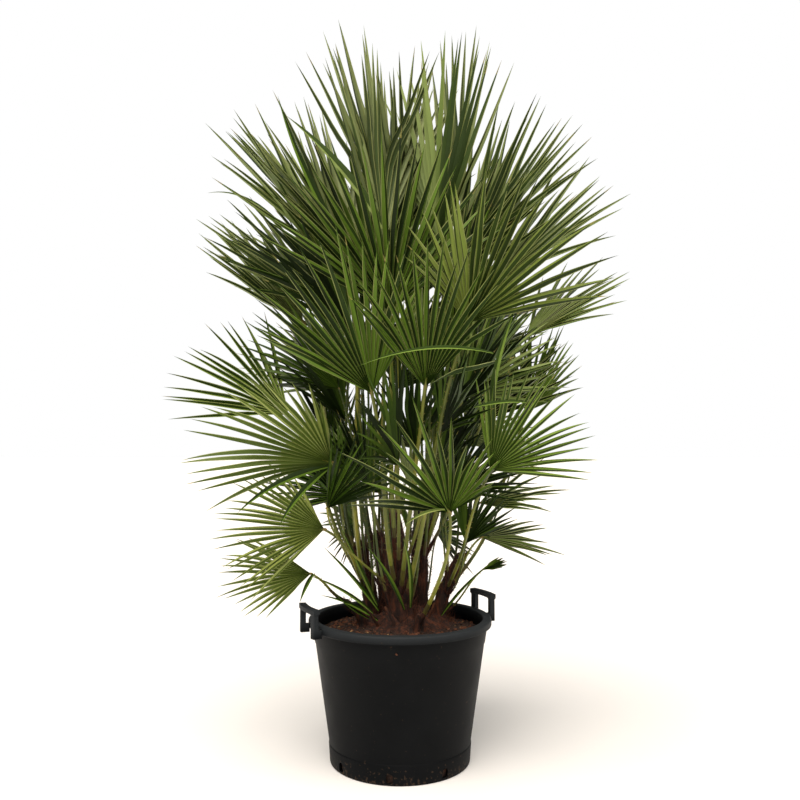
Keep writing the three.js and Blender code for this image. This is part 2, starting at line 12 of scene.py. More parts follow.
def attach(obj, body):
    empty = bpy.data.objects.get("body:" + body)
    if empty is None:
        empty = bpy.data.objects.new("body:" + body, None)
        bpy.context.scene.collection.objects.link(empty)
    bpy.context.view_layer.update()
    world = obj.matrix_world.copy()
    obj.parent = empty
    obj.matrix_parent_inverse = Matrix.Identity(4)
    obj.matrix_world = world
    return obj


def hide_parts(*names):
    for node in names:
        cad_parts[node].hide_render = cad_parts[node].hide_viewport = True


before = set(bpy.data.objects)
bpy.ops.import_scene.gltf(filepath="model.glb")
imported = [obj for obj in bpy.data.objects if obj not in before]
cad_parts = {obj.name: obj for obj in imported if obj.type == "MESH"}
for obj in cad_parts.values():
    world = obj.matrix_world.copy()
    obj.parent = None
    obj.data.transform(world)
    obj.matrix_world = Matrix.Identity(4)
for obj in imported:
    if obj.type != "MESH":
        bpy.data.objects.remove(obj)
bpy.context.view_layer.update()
mm = 0.001
scene = bpy.context.scene
nodeNames = sorted(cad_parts)
frondNodes = [name for name in nodeNames if name.startswith("frond_")]
stemNodes = [name for name in nodeNames if name.startswith("stem_")]
up = np.array([0.0, 0.0, 1.0])


# Small helpers

def lerp(a, b, share):
    return a + (b - a) * share


def unit(vector):
    return vector / np.linalg.norm(vector)


def clamp(value, low, high):
    return max(low, min(high, value))


def level(angle):
    return np.array([math.cos(angle), math.sin(angle), 0])


def around(count):
    return np.linspace(0, 2 * math.pi, count, endpoint=False)


def unitRows(vectors):
    return vectors / np.linalg.norm(vectors, axis=1)[:, None]


# The same draws as the source makes from the same seed.
def randomFrom(seed):
    word = 0xFFFFFFFF
    state = seed

    def draw():
        nonlocal state
        state = (state + 0x6D2B79F5) & word
        t = state
        t = ((t ^ (t >> 15)) * (t | 1)) & word
        t ^= (t + (((t ^ (t >> 7)) * (t | 61)) & word)) & word
        return ((t ^ (t >> 14)) & word) / 4294967296

    return draw


def linear(hexText):
    channels = [int(hexText[i:i + 2], 16) / 255 for i in (1, 3, 5)]
    return [c / 12.92 if c <= 0.04045 else ((c + 0.055) / 1.055) ** 2.4 for c in channels] + [1]


def addNode(tree, kind, settings=None, links=None):
    node = tree.nodes.new(kind)
    for key, value in (settings or {}).items():
        if isinstance(key, str) and hasattr(node, key):
            setattr(node, key, value)
        else:
            node.inputs[key].default_value = value
    for key, source in (links or {}).items():
        tree.links.new(source, node.inputs[key])
    return node


def meshObject(name, points, faces, material=None, edges=()):
    mesh = bpy.data.meshes.new(name)
    mesh.from_pydata((np.asarray(points) * mm).tolist(), edges, faces)
    mesh.update()
    if material:
        mesh.materials.append(material)
    made = bpy.data.objects.new(name, mesh)
    scene.collection.objects.link(made)
    return made


def smooth(piece, angle=40):
    piece.data.polygons.foreach_set("use_smooth", [True] * len(piece.data.polygons))
    piece.data.set_sharp_from_angle(angle=math.radians(angle))


# Every finished piece rides on the plant's one body and stands for its CAD nodes.
def settle(piece, slotName, *stoodFor):
    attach(piece, "root")
    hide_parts(*stoodFor)
    triangles = sum(len(face.vertices) - 2 for face in piece.data.polygons)
    print("piece", piece.name, triangles, "triangles")


# Rings of equal length joined in order, each counter-clockwise about the way they go, ends closed.
def loft(rings):
    rings = np.asarray(rings)
    count, sides = rings.shape[:2]
    faces = [list(range(sides))[::-1]]
    for ring in range(count - 1):
        base = ring * sides
        for side in range(sides):
            a, b = base + side, base + (side + 1) % sides
            faces.append([a, b, b + sides, a + sides])
    faces.append([(count - 1) * sides + side for side in range(sides)])
    return rings.reshape(-1, 3), faces


# Gathers many small shells into one mesh.
class Heap:
    def __init__(self):
        self.points, self.faces, self.size = [], [], 0

    def add(self, points, faces):
        self.points.append(points)
        self.faces += [[corner + self.size for corner in face] for face in faces]
        self.size += len(points)

    def object(self, name, material):
        return meshObject(name, np.concatenate(self.points), self.faces, material)


# Materials

def newMaterial(name, base, roughness, ior, specular=0.5):
    material = bpy.data.materials.new(name)
    material.use_nodes = True
    shader = material.node_tree.nodes["Principled BSDF"]
    shader.inputs["Base Color"].default_value = linear(base)
    shader.inputs["Roughness"].default_value = roughness
    shader.inputs["IOR"].default_value = ior
    shader.inputs["Specular IOR Level"].default_value = specular
    return material


# Drifts the base colour between tones over patches of a real size, and raises fine relief.
def mottle(material, tones, patch, stretch=(1, 1, 1), relief=0, reliefPatch=None):
    tree = material.node_tree
    shader = tree.nodes["Principled BSDF"]
    place = addNode(tree, "ShaderNodeTexCoord").outputs["Object"]
    turned = addNode(tree, "ShaderNodeMapping", {"Scale": stretch}, {"Vector": place})
    cloud = addNode(tree, "ShaderNodeTexNoise", {"Scale": 1 / (patch * mm), "Detail": 5, "Roughness": 0.6},
                    {"Vector": turned.outputs["Vector"]})
    ramp = addNode(tree, "ShaderNodeValToRGB", {}, {"Fac": cloud.outputs["Fac"]})
    low, high = 0.32, 0.68
    for index, tone in enumerate(tones):
        share = low + (high - low) * index / (len(tones) - 1)
        stop = ramp.color_ramp.elements[index] if index < 2 else ramp.color_ramp.elements.new(share)
        stop.position = share
        stop.color = linear(tone)
    tree.links.new(ramp.outputs["Color"], shader.inputs["Base Color"])
    if relief:
        grain = addNode(tree, "ShaderNodeTexNoise", {"Scale": 1 / (reliefPatch * mm), "Detail": 4},
                        {"Vector": turned.outputs["Vector"]})
        bump = addNode(tree, "ShaderNodeBump", {"Strength": 0.6, "Distance": relief * mm},
                       {"Height": grain.outputs["Fac"]})
        tree.links.new(bump.outputs["Normal"], shader.inputs["Normal"])
    return material


# Living palm leaf: a waxy cuticle gives each fan a soft sheen. Each tone is a plain base colour in four
# steps: two paler ones for the half of a fold that faces the softbox, as painted light, and two darker ones
# for its other half, as painted shade.
leafTones = {
    "slate": ["#9dab73", "#84925e", "#4e5f34", "#404e29"],
    "grey": ["#869855", "#708342", "#435627", "#35471e"],
    "mid": ["#5b7627", "#4b631f", "#23340d", "#1a280a"],
    "deep": ["#485f1d", "#384f16", "#1d2c0a", "#162306"],
    "bright": ["#77903e", "#637d2d", "#344817", "#2a3b10"],
    "olive": ["#728239", "#5e6c2b", "#2e3e15", "#25330f"],
    "lime": ["#9aa55d", "#848f48", "#56672b", "#485921"],
}
leafFinish = {"roughness": 0.42, "ior": 1.45, "specular": 0.18}
leafMaterials = {}
for toneName, hexes in leafTones.items():
    for step, hexText in enumerate(hexes):
        title = f"{toneName} palm leaf, waxy {step + 1}"
        leafMaterials[toneName, step] = newMaterial(title, hexText, **leafFinish)

# Dead leaf tissue, dried on the plant: straw brown and without the wax.
dryLeaf = newMaterial("dried palm leaf", "#8a8246", 0.8, 1.4)
# Green petiole skin, smooth and a little shiny, paler and yellower than the blades.
petioleSkin = mottle(newMaterial("palm petiole skin", "#707627", 0.42, 1.45),
                     ["#475118", "#6d7427", "#96903b"], 60, (1, 1, 0.3))
# The same skin on petioles deep in the crown, greener and darker there as painted shade.
paintedShadeSkin = mottle(newMaterial("palm petiole skin, painted shade", "#4d5a22", 0.46, 1.45),
                    ["#26340f", "#415019", "#646e2b"], 60, (1, 1, 0.3))
# A petiole's foot, dried and stained by the sheath, and the length over it where the green fades in.
footSkin = mottle(newMaterial("palm petiole foot, dried", "#3c2413", 0.7, 1.45),
                  ["#22120a", "#3f2614", "#5a3b1d"], 40, (1, 1, 0.3))
fadingSkin = mottle(newMaterial("palm petiole skin, fading", "#4e4a1c", 0.5, 1.45),
                    ["#342a12", "#4f4a1c", "#676524"], 40, (1, 1, 0.3))
# The hard margin of a leaflet, which draws the edge of each fold; its paler colour is a painted highlight
# along that edge.
leafMarginHighlight = newMaterial("palm leaf margin, painted highlight", "#858e4e", 0.45, 1.45)
# Thorns, hard and straw coloured along the edge of the petiole.
thornHorn = newMaterial("palm thorn", "#7d7438", 0.5, 1.45)
# The woody stop where petiole and blade meet.
hubWood = newMaterial("palm leaf hub, dried", "#7d6c38", 0.7, 1.45)
# Leaf sheath fibre, torn to brown threads: matte, mottled from rust to nearly black; the near-black is
# painted shade for the depth of the fibre.
sheathFibre = mottle(newMaterial("palm sheath fibre", "#5c3622", 0.9, 1.45),
                     ["#0f0704", "#2b150c", "#5c3019"], 12, (1, 1, 0.25), 1.6, 2)
fibreThread = newMaterial("palm fibre thread", "#532c19", 0.85, 1.45)
# Cut leaf bases, weathered wood with a paler face.
leafBaseWood = mottle(newMaterial("cut palm leaf base", "#7d5735", 0.85, 1.45),
                      ["#170b06", "#3a1f13", "#6e4226"], 14, (1, 1, 0.25), 0.8, 2)


def wholeTree(name, sockets):
    tree = bpy.data.node_groups.new(name, "GeometryNodeTree")
    tree.interface.new_socket("Geometry", in_out="INPUT", socket_type="NodeSocketGeometry")
    for label, kind in sockets:
        tree.interface.new_socket(label, in_out="INPUT", socket_type="NodeSocket" + kind)
    tree.interface.new_socket("Geometry", in_out="OUTPUT", socket_type="NodeSocketGeometry")
    given = tree.nodes.new("NodeGroupInput").outputs
    return tree, given


def aimedAlong(tree, way):
    turned = addNode(tree, "FunctionNodeAlignRotationToVector", {"axis": "Z"}, {"Vector": way})
    return turned.outputs["Rotation"]


# Turns each copy by chance about the way that it aims.
def spunFrom(tree, given, rotation):
    spin = addNode(tree, "FunctionNodeRandomValue", {"data_type": "FLOAT_VECTOR", "Max": (0, 0, 2 * math.pi)},
                   {"Seed": given["Seed"]})
    turned = addNode(tree, "FunctionNodeRotateRotation", {"rotation_space": "LOCAL"},
                     {"Rotation": rotation, "Rotate By": spin.outputs["Value"]})
    return turned.outputs["Rotation"]


def chanceSize(tree, given):
    size = addNode(tree, "FunctionNodeRandomValue", {"data_type": "FLOAT"},
                   {2: given["Smallest"], 3: given["Largest"], "Seed": given["Seed"]})
    return size.outputs[1]


def namedVector(tree, name):
    field = addNode(tree, "GeometryNodeInputNamedAttribute", {"data_type": "FLOAT_VECTOR", "Name": name})
    return field.outputs["Attribute"]


# Places the copies, realizes them and gives them their material.
def endTree(tree, given, points, rotation, scale):
    shape = addNode(tree, "GeometryNodeObjectInfo", {}, {"Object": given["Copy"]})
    placed = addNode(tree, "GeometryNodeInstanceOnPoints", {},
                     {"Points": points, "Instance": shape.outputs["Geometry"], "Rotation": rotation,
                      "Scale": scale})
    real = addNode(tree, "GeometryNodeRealizeInstances", {}, {"Geometry": placed.outputs["Instances"]})
    dressed = addNode(tree, "GeometryNodeSetMaterial", {},
                      {"Geometry": real.outputs["Geometry"], "Material": given["Material"]})
    result = tree.nodes.new("NodeGroupOutput")
    tree.links.new(dressed.outputs["Geometry"], result.inputs["Geometry"])
    return tree


# Runs a tree on an object and leaves a plain mesh in place of both.
def grownMesh(name, source, tree, values):
    modifier = source.modifiers.new(tree.name, "NODES")
    modifier.node_group = tree
    for socket in tree.interface.items_tree:
        if socket.in_out == "INPUT" and socket.name in values:
            modifier[socket.identifier] = values[socket.name]
    source.update_tag()
    bpy.context.view_layer.update()
    ready = source.evaluated_get(bpy.context.evaluated_depsgraph_get())
    mesh = bpy.data.meshes.new_from_object(ready)
    mesh.name = name
    source.modifiers.remove(modifier)
    bpy.data.objects.remove(source)
    made = bpy.data.objects.new(name, mesh)
    scene.collection.objects.link(made)
    return made


# Copies on marked points: each point carries the way its copy aims and the copy's size.
def makePlacingTree():
    tree, given = wholeTree("copies on marked points", [
        ("Copy", "Object"), ("Seed", "Int"), ("Material", "Material")])
    size = addNode(tree, "GeometryNodeInputNamedAttribute", {"data_type": "FLOAT", "Name": "size"})
    facing = aimedAlong(tree, namedVector(tree, "aim"))
    return endTree(tree, given, given["Geometry"], spunFrom(tree, given, facing), size.outputs["Attribute"])


# Copies strewn over a surface: they lean from its normal towards a way, and vary in size.
def makeStrewingTree():
    tree, given = wholeTree("copies strewn on a surface", [
        ("Copy", "Object"), ("Density", "Float"), ("Smallest", "Float"), ("Largest", "Float"),
        ("Towards", "Vector"), ("Unrest", "Float"), ("Seed", "Int"), ("Material", "Material")])
    strewn = addNode(tree, "GeometryNodeDistributePointsOnFaces", {},
                     {"Mesh": given["Geometry"], "Density": given["Density"], "Seed": given["Seed"]})
    stray = addNode(tree, "FunctionNodeRandomValue", {"data_type": "FLOAT_VECTOR", "Min": (-1, -1, -1)},
                    {"Seed": given["Seed"]})
    strayed = addNode(tree, "ShaderNodeVectorMath", {"operation": "SCALE"},
                      {0: stray.outputs["Value"], "Scale": given["Unrest"]})
    leaning = addNode(tree, "ShaderNodeVectorMath", {"operation": "ADD"},
                      {0: strewn.outputs["Normal"], 1: given["Towards"]})
    way = addNode(tree, "ShaderNodeVectorMath", {"operation": "ADD"},
                  {0: leaning.outputs["Vector"], 1: strayed.outputs["Vector"]})
    facing = aimedAlong(tree, way.outputs["Vector"])
    return endTree(tree, given, strewn.outputs["Points"], spunFrom(tree, given, facing),
                   chanceSize(tree, given))


# Thorns at even steps along the petioles' edges, aimed out and a little forwards.
def makeThornTree():
    tree, given = wholeTree("thorns along an edge", [
        ("Copy", "Object"), ("Spacing", "Float"), ("Smallest", "Float"), ("Largest", "Float"),
        ("Seed", "Int"), ("Material", "Material")])
    chain = addNode(tree, "GeometryNodeMeshToCurve", {}, {"Mesh": given["Geometry"]})
    even = addNode(tree, "GeometryNodeResampleCurve", {"mode": "LENGTH"},
                   {"Curve": chain.outputs["Curve"], "Length": given["Spacing"]})
    facing = aimedAlong(tree, namedVector(tree, "aim"))
    return endTree(tree, given, even.outputs["Curve"], facing, chanceSize(tree, given))


placingTree = makePlacingTree()
strewingTree = makeStrewingTree()
thornTree = makeThornTree()


# A mesh of marked points or chains, with the vectors and sizes that the trees read.
def markedMesh(name, points, aims, sizes=None, edges=()):
    marks = meshObject(name, points, [], None, edges)
    aimField = marks.data.attributes.new("aim", "FLOAT_VECTOR", "POINT")
    aimField.data.foreach_set("vector", np.asarray(aims, np.float32).ravel())
    if sizes is not None:
        sizeField = marks.data.attributes.new("size", "FLOAT", "POINT")
        sizeField.data.foreach_set("value", np.asarray(sizes, np.float32))
    return marks


# Camera at the photograph's place, then soft light on a pale floor

view = {"place": (0, -1950, 729), "pitch": 92.69, "lens": 37.6, "sensor": 36}
cameraData = bpy.data.cameras.new("camera")
cameraData.lens = view["lens"]
cameraData.sensor_width = view["sensor"]
camera = bpy.data.objects.new("camera", cameraData)
camera.location = [c * mm for c in view["place"]]
camera.rotation_euler = (math.radians(view["pitch"]), 0, 0)
scene.collection.objects.link(camera)
scene.camera = camera
scene.view_settings.view_transform = "Standard"

lamps = {
    "softbox": {"from": (-0.45, -0.8, 1.8), "strength": 4.08, "angle": 58},
    "fill card": {"from": (1.1, -0.9, 1.5), "strength": 1.3, "angle": 70},
}
studio = {"lampColour": "#fff5ea", "backdropColour": "#ffffff", "ambient": 0.245, "backdrop": 1.0,
          "floorColour": "#ececeb", "floorSpan": 30000}
for name, lamp in lamps.items():
    sunData = bpy.data.lights.new(name, "SUN")
    sunData.energy = lamp["strength"]
    sunData.color = linear(studio["lampColour"])[:3]
    sunData.angle = math.radians(lamp["angle"])
    sun = bpy.data.objects.new(name, sunData)
    sun.rotation_euler = Vector(lamp["from"]).to_track_quat("Z", "Y").to_euler()
    scene.collection.objects.link(sun)
# The backdrop is white as seen, and softer as a light on the plant.
world = bpy.data.worlds.new("studio")
world.use_nodes = True
backdrop = world.node_tree.nodes["Background"]
backdrop.inputs["Color"].default_value = linear(studio["backdropColour"])
seen = addNode(world.node_tree, "ShaderNodeLightPath").outputs["Is Camera Ray"]
shine = addNode(world.node_tree, "ShaderNodeMapRange", {3: studio["ambient"], 4: studio["backdrop"]},
                {0: seen})
world.node_tree.links.new(shine.outputs["Result"], backdrop.inputs["Strength"])
scene.world = world

floorCorners = [[x * studio["floorSpan"], y * studio["floorSpan"], 0]
                for x, y in ((-1, -1), (1, -1), (1, 1), (-1, 1))]
floor = meshObject("floor", floorCorners, [[0, 1, 2, 3]],
                   newMaterial("studio floor", studio["floorColour"], 0.95, 1.5))
print("stage: camera, light and floor")


# Pot

pot = {"height": 322, "footRadius": 153, "baseRadius": 160, "skirtHeight": 44, "neckRadius": 199,
       "bandHeight": 268, "rimRadius": 210, "mouthRadius": 190, "lipHeight": 17, "wall": 3.5, "floor": 5,
       "sides": 128, "roll": 5}
drain = {"count": 8, "width": 15, "height": 20, "sill": 6, "turn": -8, "depth": 24, "arc": 10}
soil = {"top": 296, "flatRadius": 145, "dip": 9}


# Black polypropylene, moulded and handled: satin, with dried dirt in patches, and a paler band on the rim
# that is partly dust and partly a painted highlight.
def potPlastic():
    finish = {"clean": "#050709", "worn": "#0b0d0f", "dirt": "#3a2e24", "rimDustAndHighlight": "#34383b",
              "patch": 70, "speck": 7, "grain": 1.2, "grainDepth": 0.2, "specular": 0.08,
              "wearRange": (0.42, 0.72), "rimHeights": (300, 320), "rimShare": 0.6,
              "splashHeight": 50, "splash": 0.17, "dirtRange": (0.69, 0.77), "dirtShare": 0.8,
              "roughRange": (0.42, 0.66)}
    material = newMaterial("black polypropylene, moulded", finish["clean"], 0.5, 1.49, finish["specular"])
    tree = material.node_tree
    shader = tree.nodes["Principled BSDF"]
    place = addNode(tree, "ShaderNodeTexCoord").outputs["Object"]

    def cloudOf(patch, detail):
        return addNode(tree, "ShaderNodeTexNoise", {"Scale": 1 / (finish[patch] * mm), "Detail": detail},
                       {"Vector": place}).outputs["Fac"]

    def ranged(source, settings):
        return addNode(tree, "ShaderNodeMapRange", settings, {0: source}).outputs["Result"]

    def mixed(share, settings, links):
        node = addNode(tree, "ShaderNodeMix", {"data_type": "RGBA", **settings}, {0: share, **links})
        return node.outputs[2]

    cloud, speck = cloudOf("patch", 6), cloudOf("speck", 3)
    wearLow, wearHigh = finish["wearRange"]
    body = mixed(ranged(cloud, {1: wearLow, 2: wearHigh}),
                 {6: linear(finish["clean"]), 7: linear(finish["worn"])}, {})
    height = addNode(tree, "ShaderNodeSeparateXYZ", {}, {0: place}).outputs["Z"]
    rimLow, rimHigh = finish["rimHeights"]
    # The paler rim band: dust, and a painted highlight along the top of the pot.
    rim = ranged(height, {1: rimLow * mm, 2: rimHigh * mm, 4: finish["rimShare"]})
    dustedAndHighlit = mixed(rim, {7: linear(finish["rimDustAndHighlight"])}, {6: body})
    splash = ranged(height, {1: finish["splashHeight"] * mm, 2: 0.0, 3: 0.0, 4: finish["splash"]})
    dirt = addNode(tree, "ShaderNodeMath", {"operation": "ADD"}, {0: speck, 1: splash}).outputs["Value"]
    dirtLow, dirtHigh = finish["dirtRange"]
    dirtShare = ranged(dirt, {1: dirtLow, 2: dirtHigh, 4: finish["dirtShare"]})
    dirty = mixed(dirtShare, {7: linear(finish["dirt"])}, {6: dustedAndHighlit})
    tree.links.new(dirty, shader.inputs["Base Color"])
    roughLow, roughHigh = finish["roughRange"]
    tree.links.new(ranged(cloud, {3: roughLow, 4: roughHigh}), shader.inputs["Roughness"])
    bump = addNode(tree, "ShaderNodeBump", {"Strength": 0.25, "Distance": finish["grainDepth"] * mm},
                   {"Height": cloudOf("grain", 2)})
    tree.links.new(bump.outputs["Normal"], shader.inputs["Normal"])
    return material


blackPlastic = potPlastic()


def potOutside(z):
    share = (z - pot["skirtHeight"]) / (pot["height"] - pot["lipHeight"] - pot["skirtHeight"])
    return lerp(pot["baseRadius"] + 2, pot["neckRadius"], share)


def quarterTurn(centreR, centreZ, radius, fromAngle, toAngle, steps=5):
    angles = np.radians(np.linspace(fromAngle, toAngle, steps))
    return [[centreR + radius * math.cos(a), centreZ + radius * math.sin(a)] for a in angles]


# The source's profile with its corners rounded, from the axis under the foot to the axis inside.
def potProfile():
    top, base, skirt, band = pot["height"], pot["baseRadius"], pot["skirtHeight"], pot["bandHeight"]
    lipFoot = top - pot["lipHeight"]
    roll, step, turnIn = pot["roll"], 1.5, 2
    profile = [[0, 0], [pot["footRadius"], 0], *quarterTurn(base - 4, 4, 4, -90, 0)]
    profile += [[base + 2.6, skirt - 3], [base + 2.4, skirt - 1], [potOutside(skirt) - 0.6, skirt + 0.5]]
    profile += [[potOutside(band), band], [potOutside(band) + step, band + 2]]
    profile += [[pot["neckRadius"] + step, lipFoot - 1.5], [pot["neckRadius"] + step + 1.5, lipFoot]]
    profile += quarterTurn(pot["rimRadius"] - 3, lipFoot + 3, 3, -90, 0)
    profile += quarterTurn(pot["rimRadius"] - roll, top - roll, roll, 0, 90)
    profile += quarterTurn(pot["mouthRadius"] + turnIn + 1, top - 3, 3, 90, 180)
    profile += [[potOutside(soil["top"]) - pot["wall"], soil["top"] - 12]]
    profile += [[potOutside(pot["floor"]) - pot["wall"], pot["floor"]], [0, pot["floor"]]]
    return profile


def turnedMesh(name, profile, sides, material):
    angles = around(sides)
    points, faces, rings = [], [], []
    for r, z in profile:
        if r == 0:
            rings.append([len(points)] * sides)
            points.append([0, 0, z])
        else:
            rings.append(list(range(len(points), len(points) + sides)))
            points += [[r * math.cos(a), r * math.sin(a), z] for a in angles]
    for low, high in zip(rings, rings[1:]):
        for i in range(sides):
            j = (i + 1) % sides
            corners = [low[i], low[j], high[j], high[i]]
            faces.append([c for k, c in enumerate(corners) if c != corners[k - 1]])
    return meshObject(name, points, faces, material)


def drainCutter():
    half = drain["width"] / 2
    shoulder = drain["sill"] + drain["height"] - half
    arch = [[-half, drain["sill"]], [half, drain["sill"]]]
    arch += [[half * math.cos(a), shoulder + half * math.sin(a)]
             for a in np.linspace(0, math.pi, drain["arc"])]
    cutters = Heap()
    for i in range(drain["count"]):
        angle = math.radians(drain["turn"] + i * 360 / drain["count"])
        outward = np.array([math.sin(angle), -math.cos(angle), 0])
        across = level(angle)
        ends = [pot["baseRadius"] + drain["depth"] / 2, pot["baseRadius"] - drain["depth"] / 2]
        rings = [[outward * end + across * x + up * z for x, z in arch] for end in ends]
        cutters.add(*loft([rings[1], rings[0]]))
    return cutters.object("drain cutter", None)


def recalculated(piece):
    work = bmesh.new()
    work.from_mesh(piece.data)
    bmesh.ops.recalc_face_normals(work, faces=work.faces)
    work.to_mesh(piece.data)
    work.free()


def applied(piece):
    bpy.context.view_layer.update()
    ready = piece.evaluated_get(bpy.context.evaluated_depsgraph_get())
    mesh = bpy.data.meshes.new_from_object(ready)
    piece.modifiers.clear()
    piece.data = mesh
    return piece


def makePot():
    body = turnedMesh("potBody", potProfile(), pot["sides"], blackPlastic)
    recalculated(body)
    cutter = drainCutter()
    recalculated(cutter)
    cut = body.modifiers.new("drains", "BOOLEAN")
    cut.operation = "DIFFERENCE"
    cut.solver = "EXACT"
    cut.object = cutter
    applied(body)
    bpy.data.objects.remove(cutter)
    smooth(body, 35)
    settle(body, "pot", "pot")


handle = {"bearings": {"handle_right": 25, "handle_left": 205}, "halfAngle": 12, "postAngle": 4,
          "outerRadius": 231, "depth": 12, "barFlare": 2, "barDepth": 11, "foot": 299, "lugTop": 317,
          "top": 362, "seatGap": 0.3, "overlap": 3, "overhang": 0.6, "grid": 1.1}


def ringBlock(inner, outer, start, end, low, high, steps):
    angles = np.radians(np.linspace(start, end, steps + 1))
    rings = []
    for a in angles:
        way = level(a)
        rings.append([way * inner + up * low, way * outer + up * low, way * outer + up * high,
                      way * inner + up * high])
    return loft(np.asarray(rings)[:, ::-1])


# Two posts with a lug to the lip, and the bar that overhangs them, melted into one rounded loop.
def makeHandle(name, bearing):
    outer, overlap, overhang = handle["outerRadius"], handle["overlap"], handle["overhang"]
    inner = outer - handle["depth"]
    low, high = bearing - handle["halfAngle"], bearing + handle["halfAngle"]
    barFoot = handle["top"] - handle["barDepth"]
    lipSide = pot["rimRadius"] + handle["seatGap"]
    blocks = Heap()
    for start in (low, high - handle["postAngle"]):
        end = start + handle["postAngle"]
        blocks.add(*ringBlock(inner, outer, start, end, handle["foot"], barFoot + overlap, 3))
        blocks.add(*ringBlock(lipSide, inner + overlap, start, end, handle["foot"], handle["lugTop"], 3))
    blocks.add(*ringBlock(inner - handle["barFlare"], outer + handle["barFlare"], low - overhang,
                          high + overhang, barFoot, handle["top"], 14))
    loop = blocks.object(name + "_loop", blackPlastic)
    recalculated(loop)
    melt = loop.modifiers.new("one body", "REMESH")
    melt.mode = "VOXEL"
    melt.voxel_size = handle["grid"] * mm
    soften = loop.modifiers.new("moulded edges", "SMOOTH")
    soften.iterations = 5
    applied(loop)
    smooth(loop, 60)
    settle(loop, "pot", name)


makePot()
for name, bearing in handle["bearings"].items():
    makeHandle(name, bearing)
print("stage: pot and handles")


# Stems

stems = {
    "main": {"foot": [0, 6], "tip": [-18, 12, 557], "flare": 48, "waist": 29, "bud": 17},
    "back": {"foot": [48, 84], "tip": [48, 96, 582], "flare": 34, "waist": 20, "bud": 13},
    "left": {"foot": [-66, 66], "tip": [-104, 66, 482], "flare": 32, "waist": 18, "bud": 12},
    "right": {"foot": [90, 50], "tip": [150, 70, 457], "flare": 27, "waist": 16, "bud": 12},
    "rear": {"foot": [-34, 108], "tip": [-54, 148, 502], "flare": 28, "waist": 18, "bud": 13},
    "sprout_left": {"foot": [-84, -6], "tip": [-126, -14, 362], "flare": 15, "waist": 11, "bud": 8},
    "sprout_front": {"foot": [40, -64], "tip": [46, -72, 340], "flare": 17, "waist": 12, "bud": 9},
}
stemForm = {"flareShare": 0.22, "sides": 28, "ringStep": 5, "sunk": 4, "ridge": 3.2, "ridges": 3,
            "ridgeDrift": 1.5, "shag": 2.4, "shagWidth": 7, "shagHeight": 18, "fullPushFrom": 20}


def stemCentre(stem, share):
    foot = np.array([*stem["foot"], soil["top"] + 0.3])
    tip = np.array(stem["tip"], float)
    bend = np.array([foot[0], foot[1], lerp(foot[2], tip[2], 0.4)])
    return foot * (1 - share) ** 2 + bend * 2 * share * (1 - share) + tip * share ** 2


def stemDirection(stem, share):
    return unit(stemCentre(stem, share) - stemCentre(stem, share - 0.02))


def stemRadius(stem, share):
    flare = max(0, 1 - share / stemForm["flareShare"]) ** 2 * (stem["flare"] - stem["waist"])
    crown = max(0, (share - 0.5) / 0.5) ** 1.5
    return lerp(stem["waist"], stem["bud"], crown) + flare


# The stem's own taper with upright ridges and ragged relief, closed by a soft bud at the top.
def makeStemBark():
    bark = Heap()
    for index, stem in enumerate(stems.values()):
        height = stem["tip"][2] - soil["top"]
        count = max(8, round(height / stemForm["ringStep"]))
        rings = []
        for step in range(count + 1):
            share = step / count
            centre = stemCentre(stem, share)
            if step == 0:
                centre = centre - up * stemForm["sunk"]
            radius = stemRadius(stem, share)
            ring = []
            for side in range(stemForm["sides"]):
                angle = 2 * math.pi * side / stemForm["sides"]
                way = level(angle)
                ridgeAt = Vector(way * stemForm["ridges"])
                ridgeAt.z = share * stemForm["ridgeDrift"] + index * 9
                shagAt = Vector(way * radius / stemForm["shagWidth"])
                shagAt.z = centre[2] / stemForm["shagHeight"] + index * 5
                push = stemForm["ridge"] * noise.noise(ridgeAt) + stemForm["shag"] * noise.noise(shagAt)
                ring.append(centre + way * (radius + push * min(1, radius / stemForm["fullPushFrom"])))
            rings.append(ring)
        bark.add(*loft(rings))
    return bark.object("stemBark", sheathFibre)


# Leaf bases in the golden angle up each stem, each a short cut wedge that leans out.
leafBase = {"step": 5.5, "goldenAngle": 137.5, "lean": 0.16, "sizeFrom": 0.5, "sizeTo": 0.95, "seed": 5,
            "length": 56, "footWidth": 13, "endWidth": 4, "thickness": 4, "sunk": 0.66,
            "stubs": [[[-6, -52, 306], [-0.46, -0.3, 0.84], 1.25], [[62, -8, 308], [0.3, -0.3, 0.9], 1.1],
                      [[-48, -30, 304], [-0.5, -0.3, 0.8], 1.0]]}


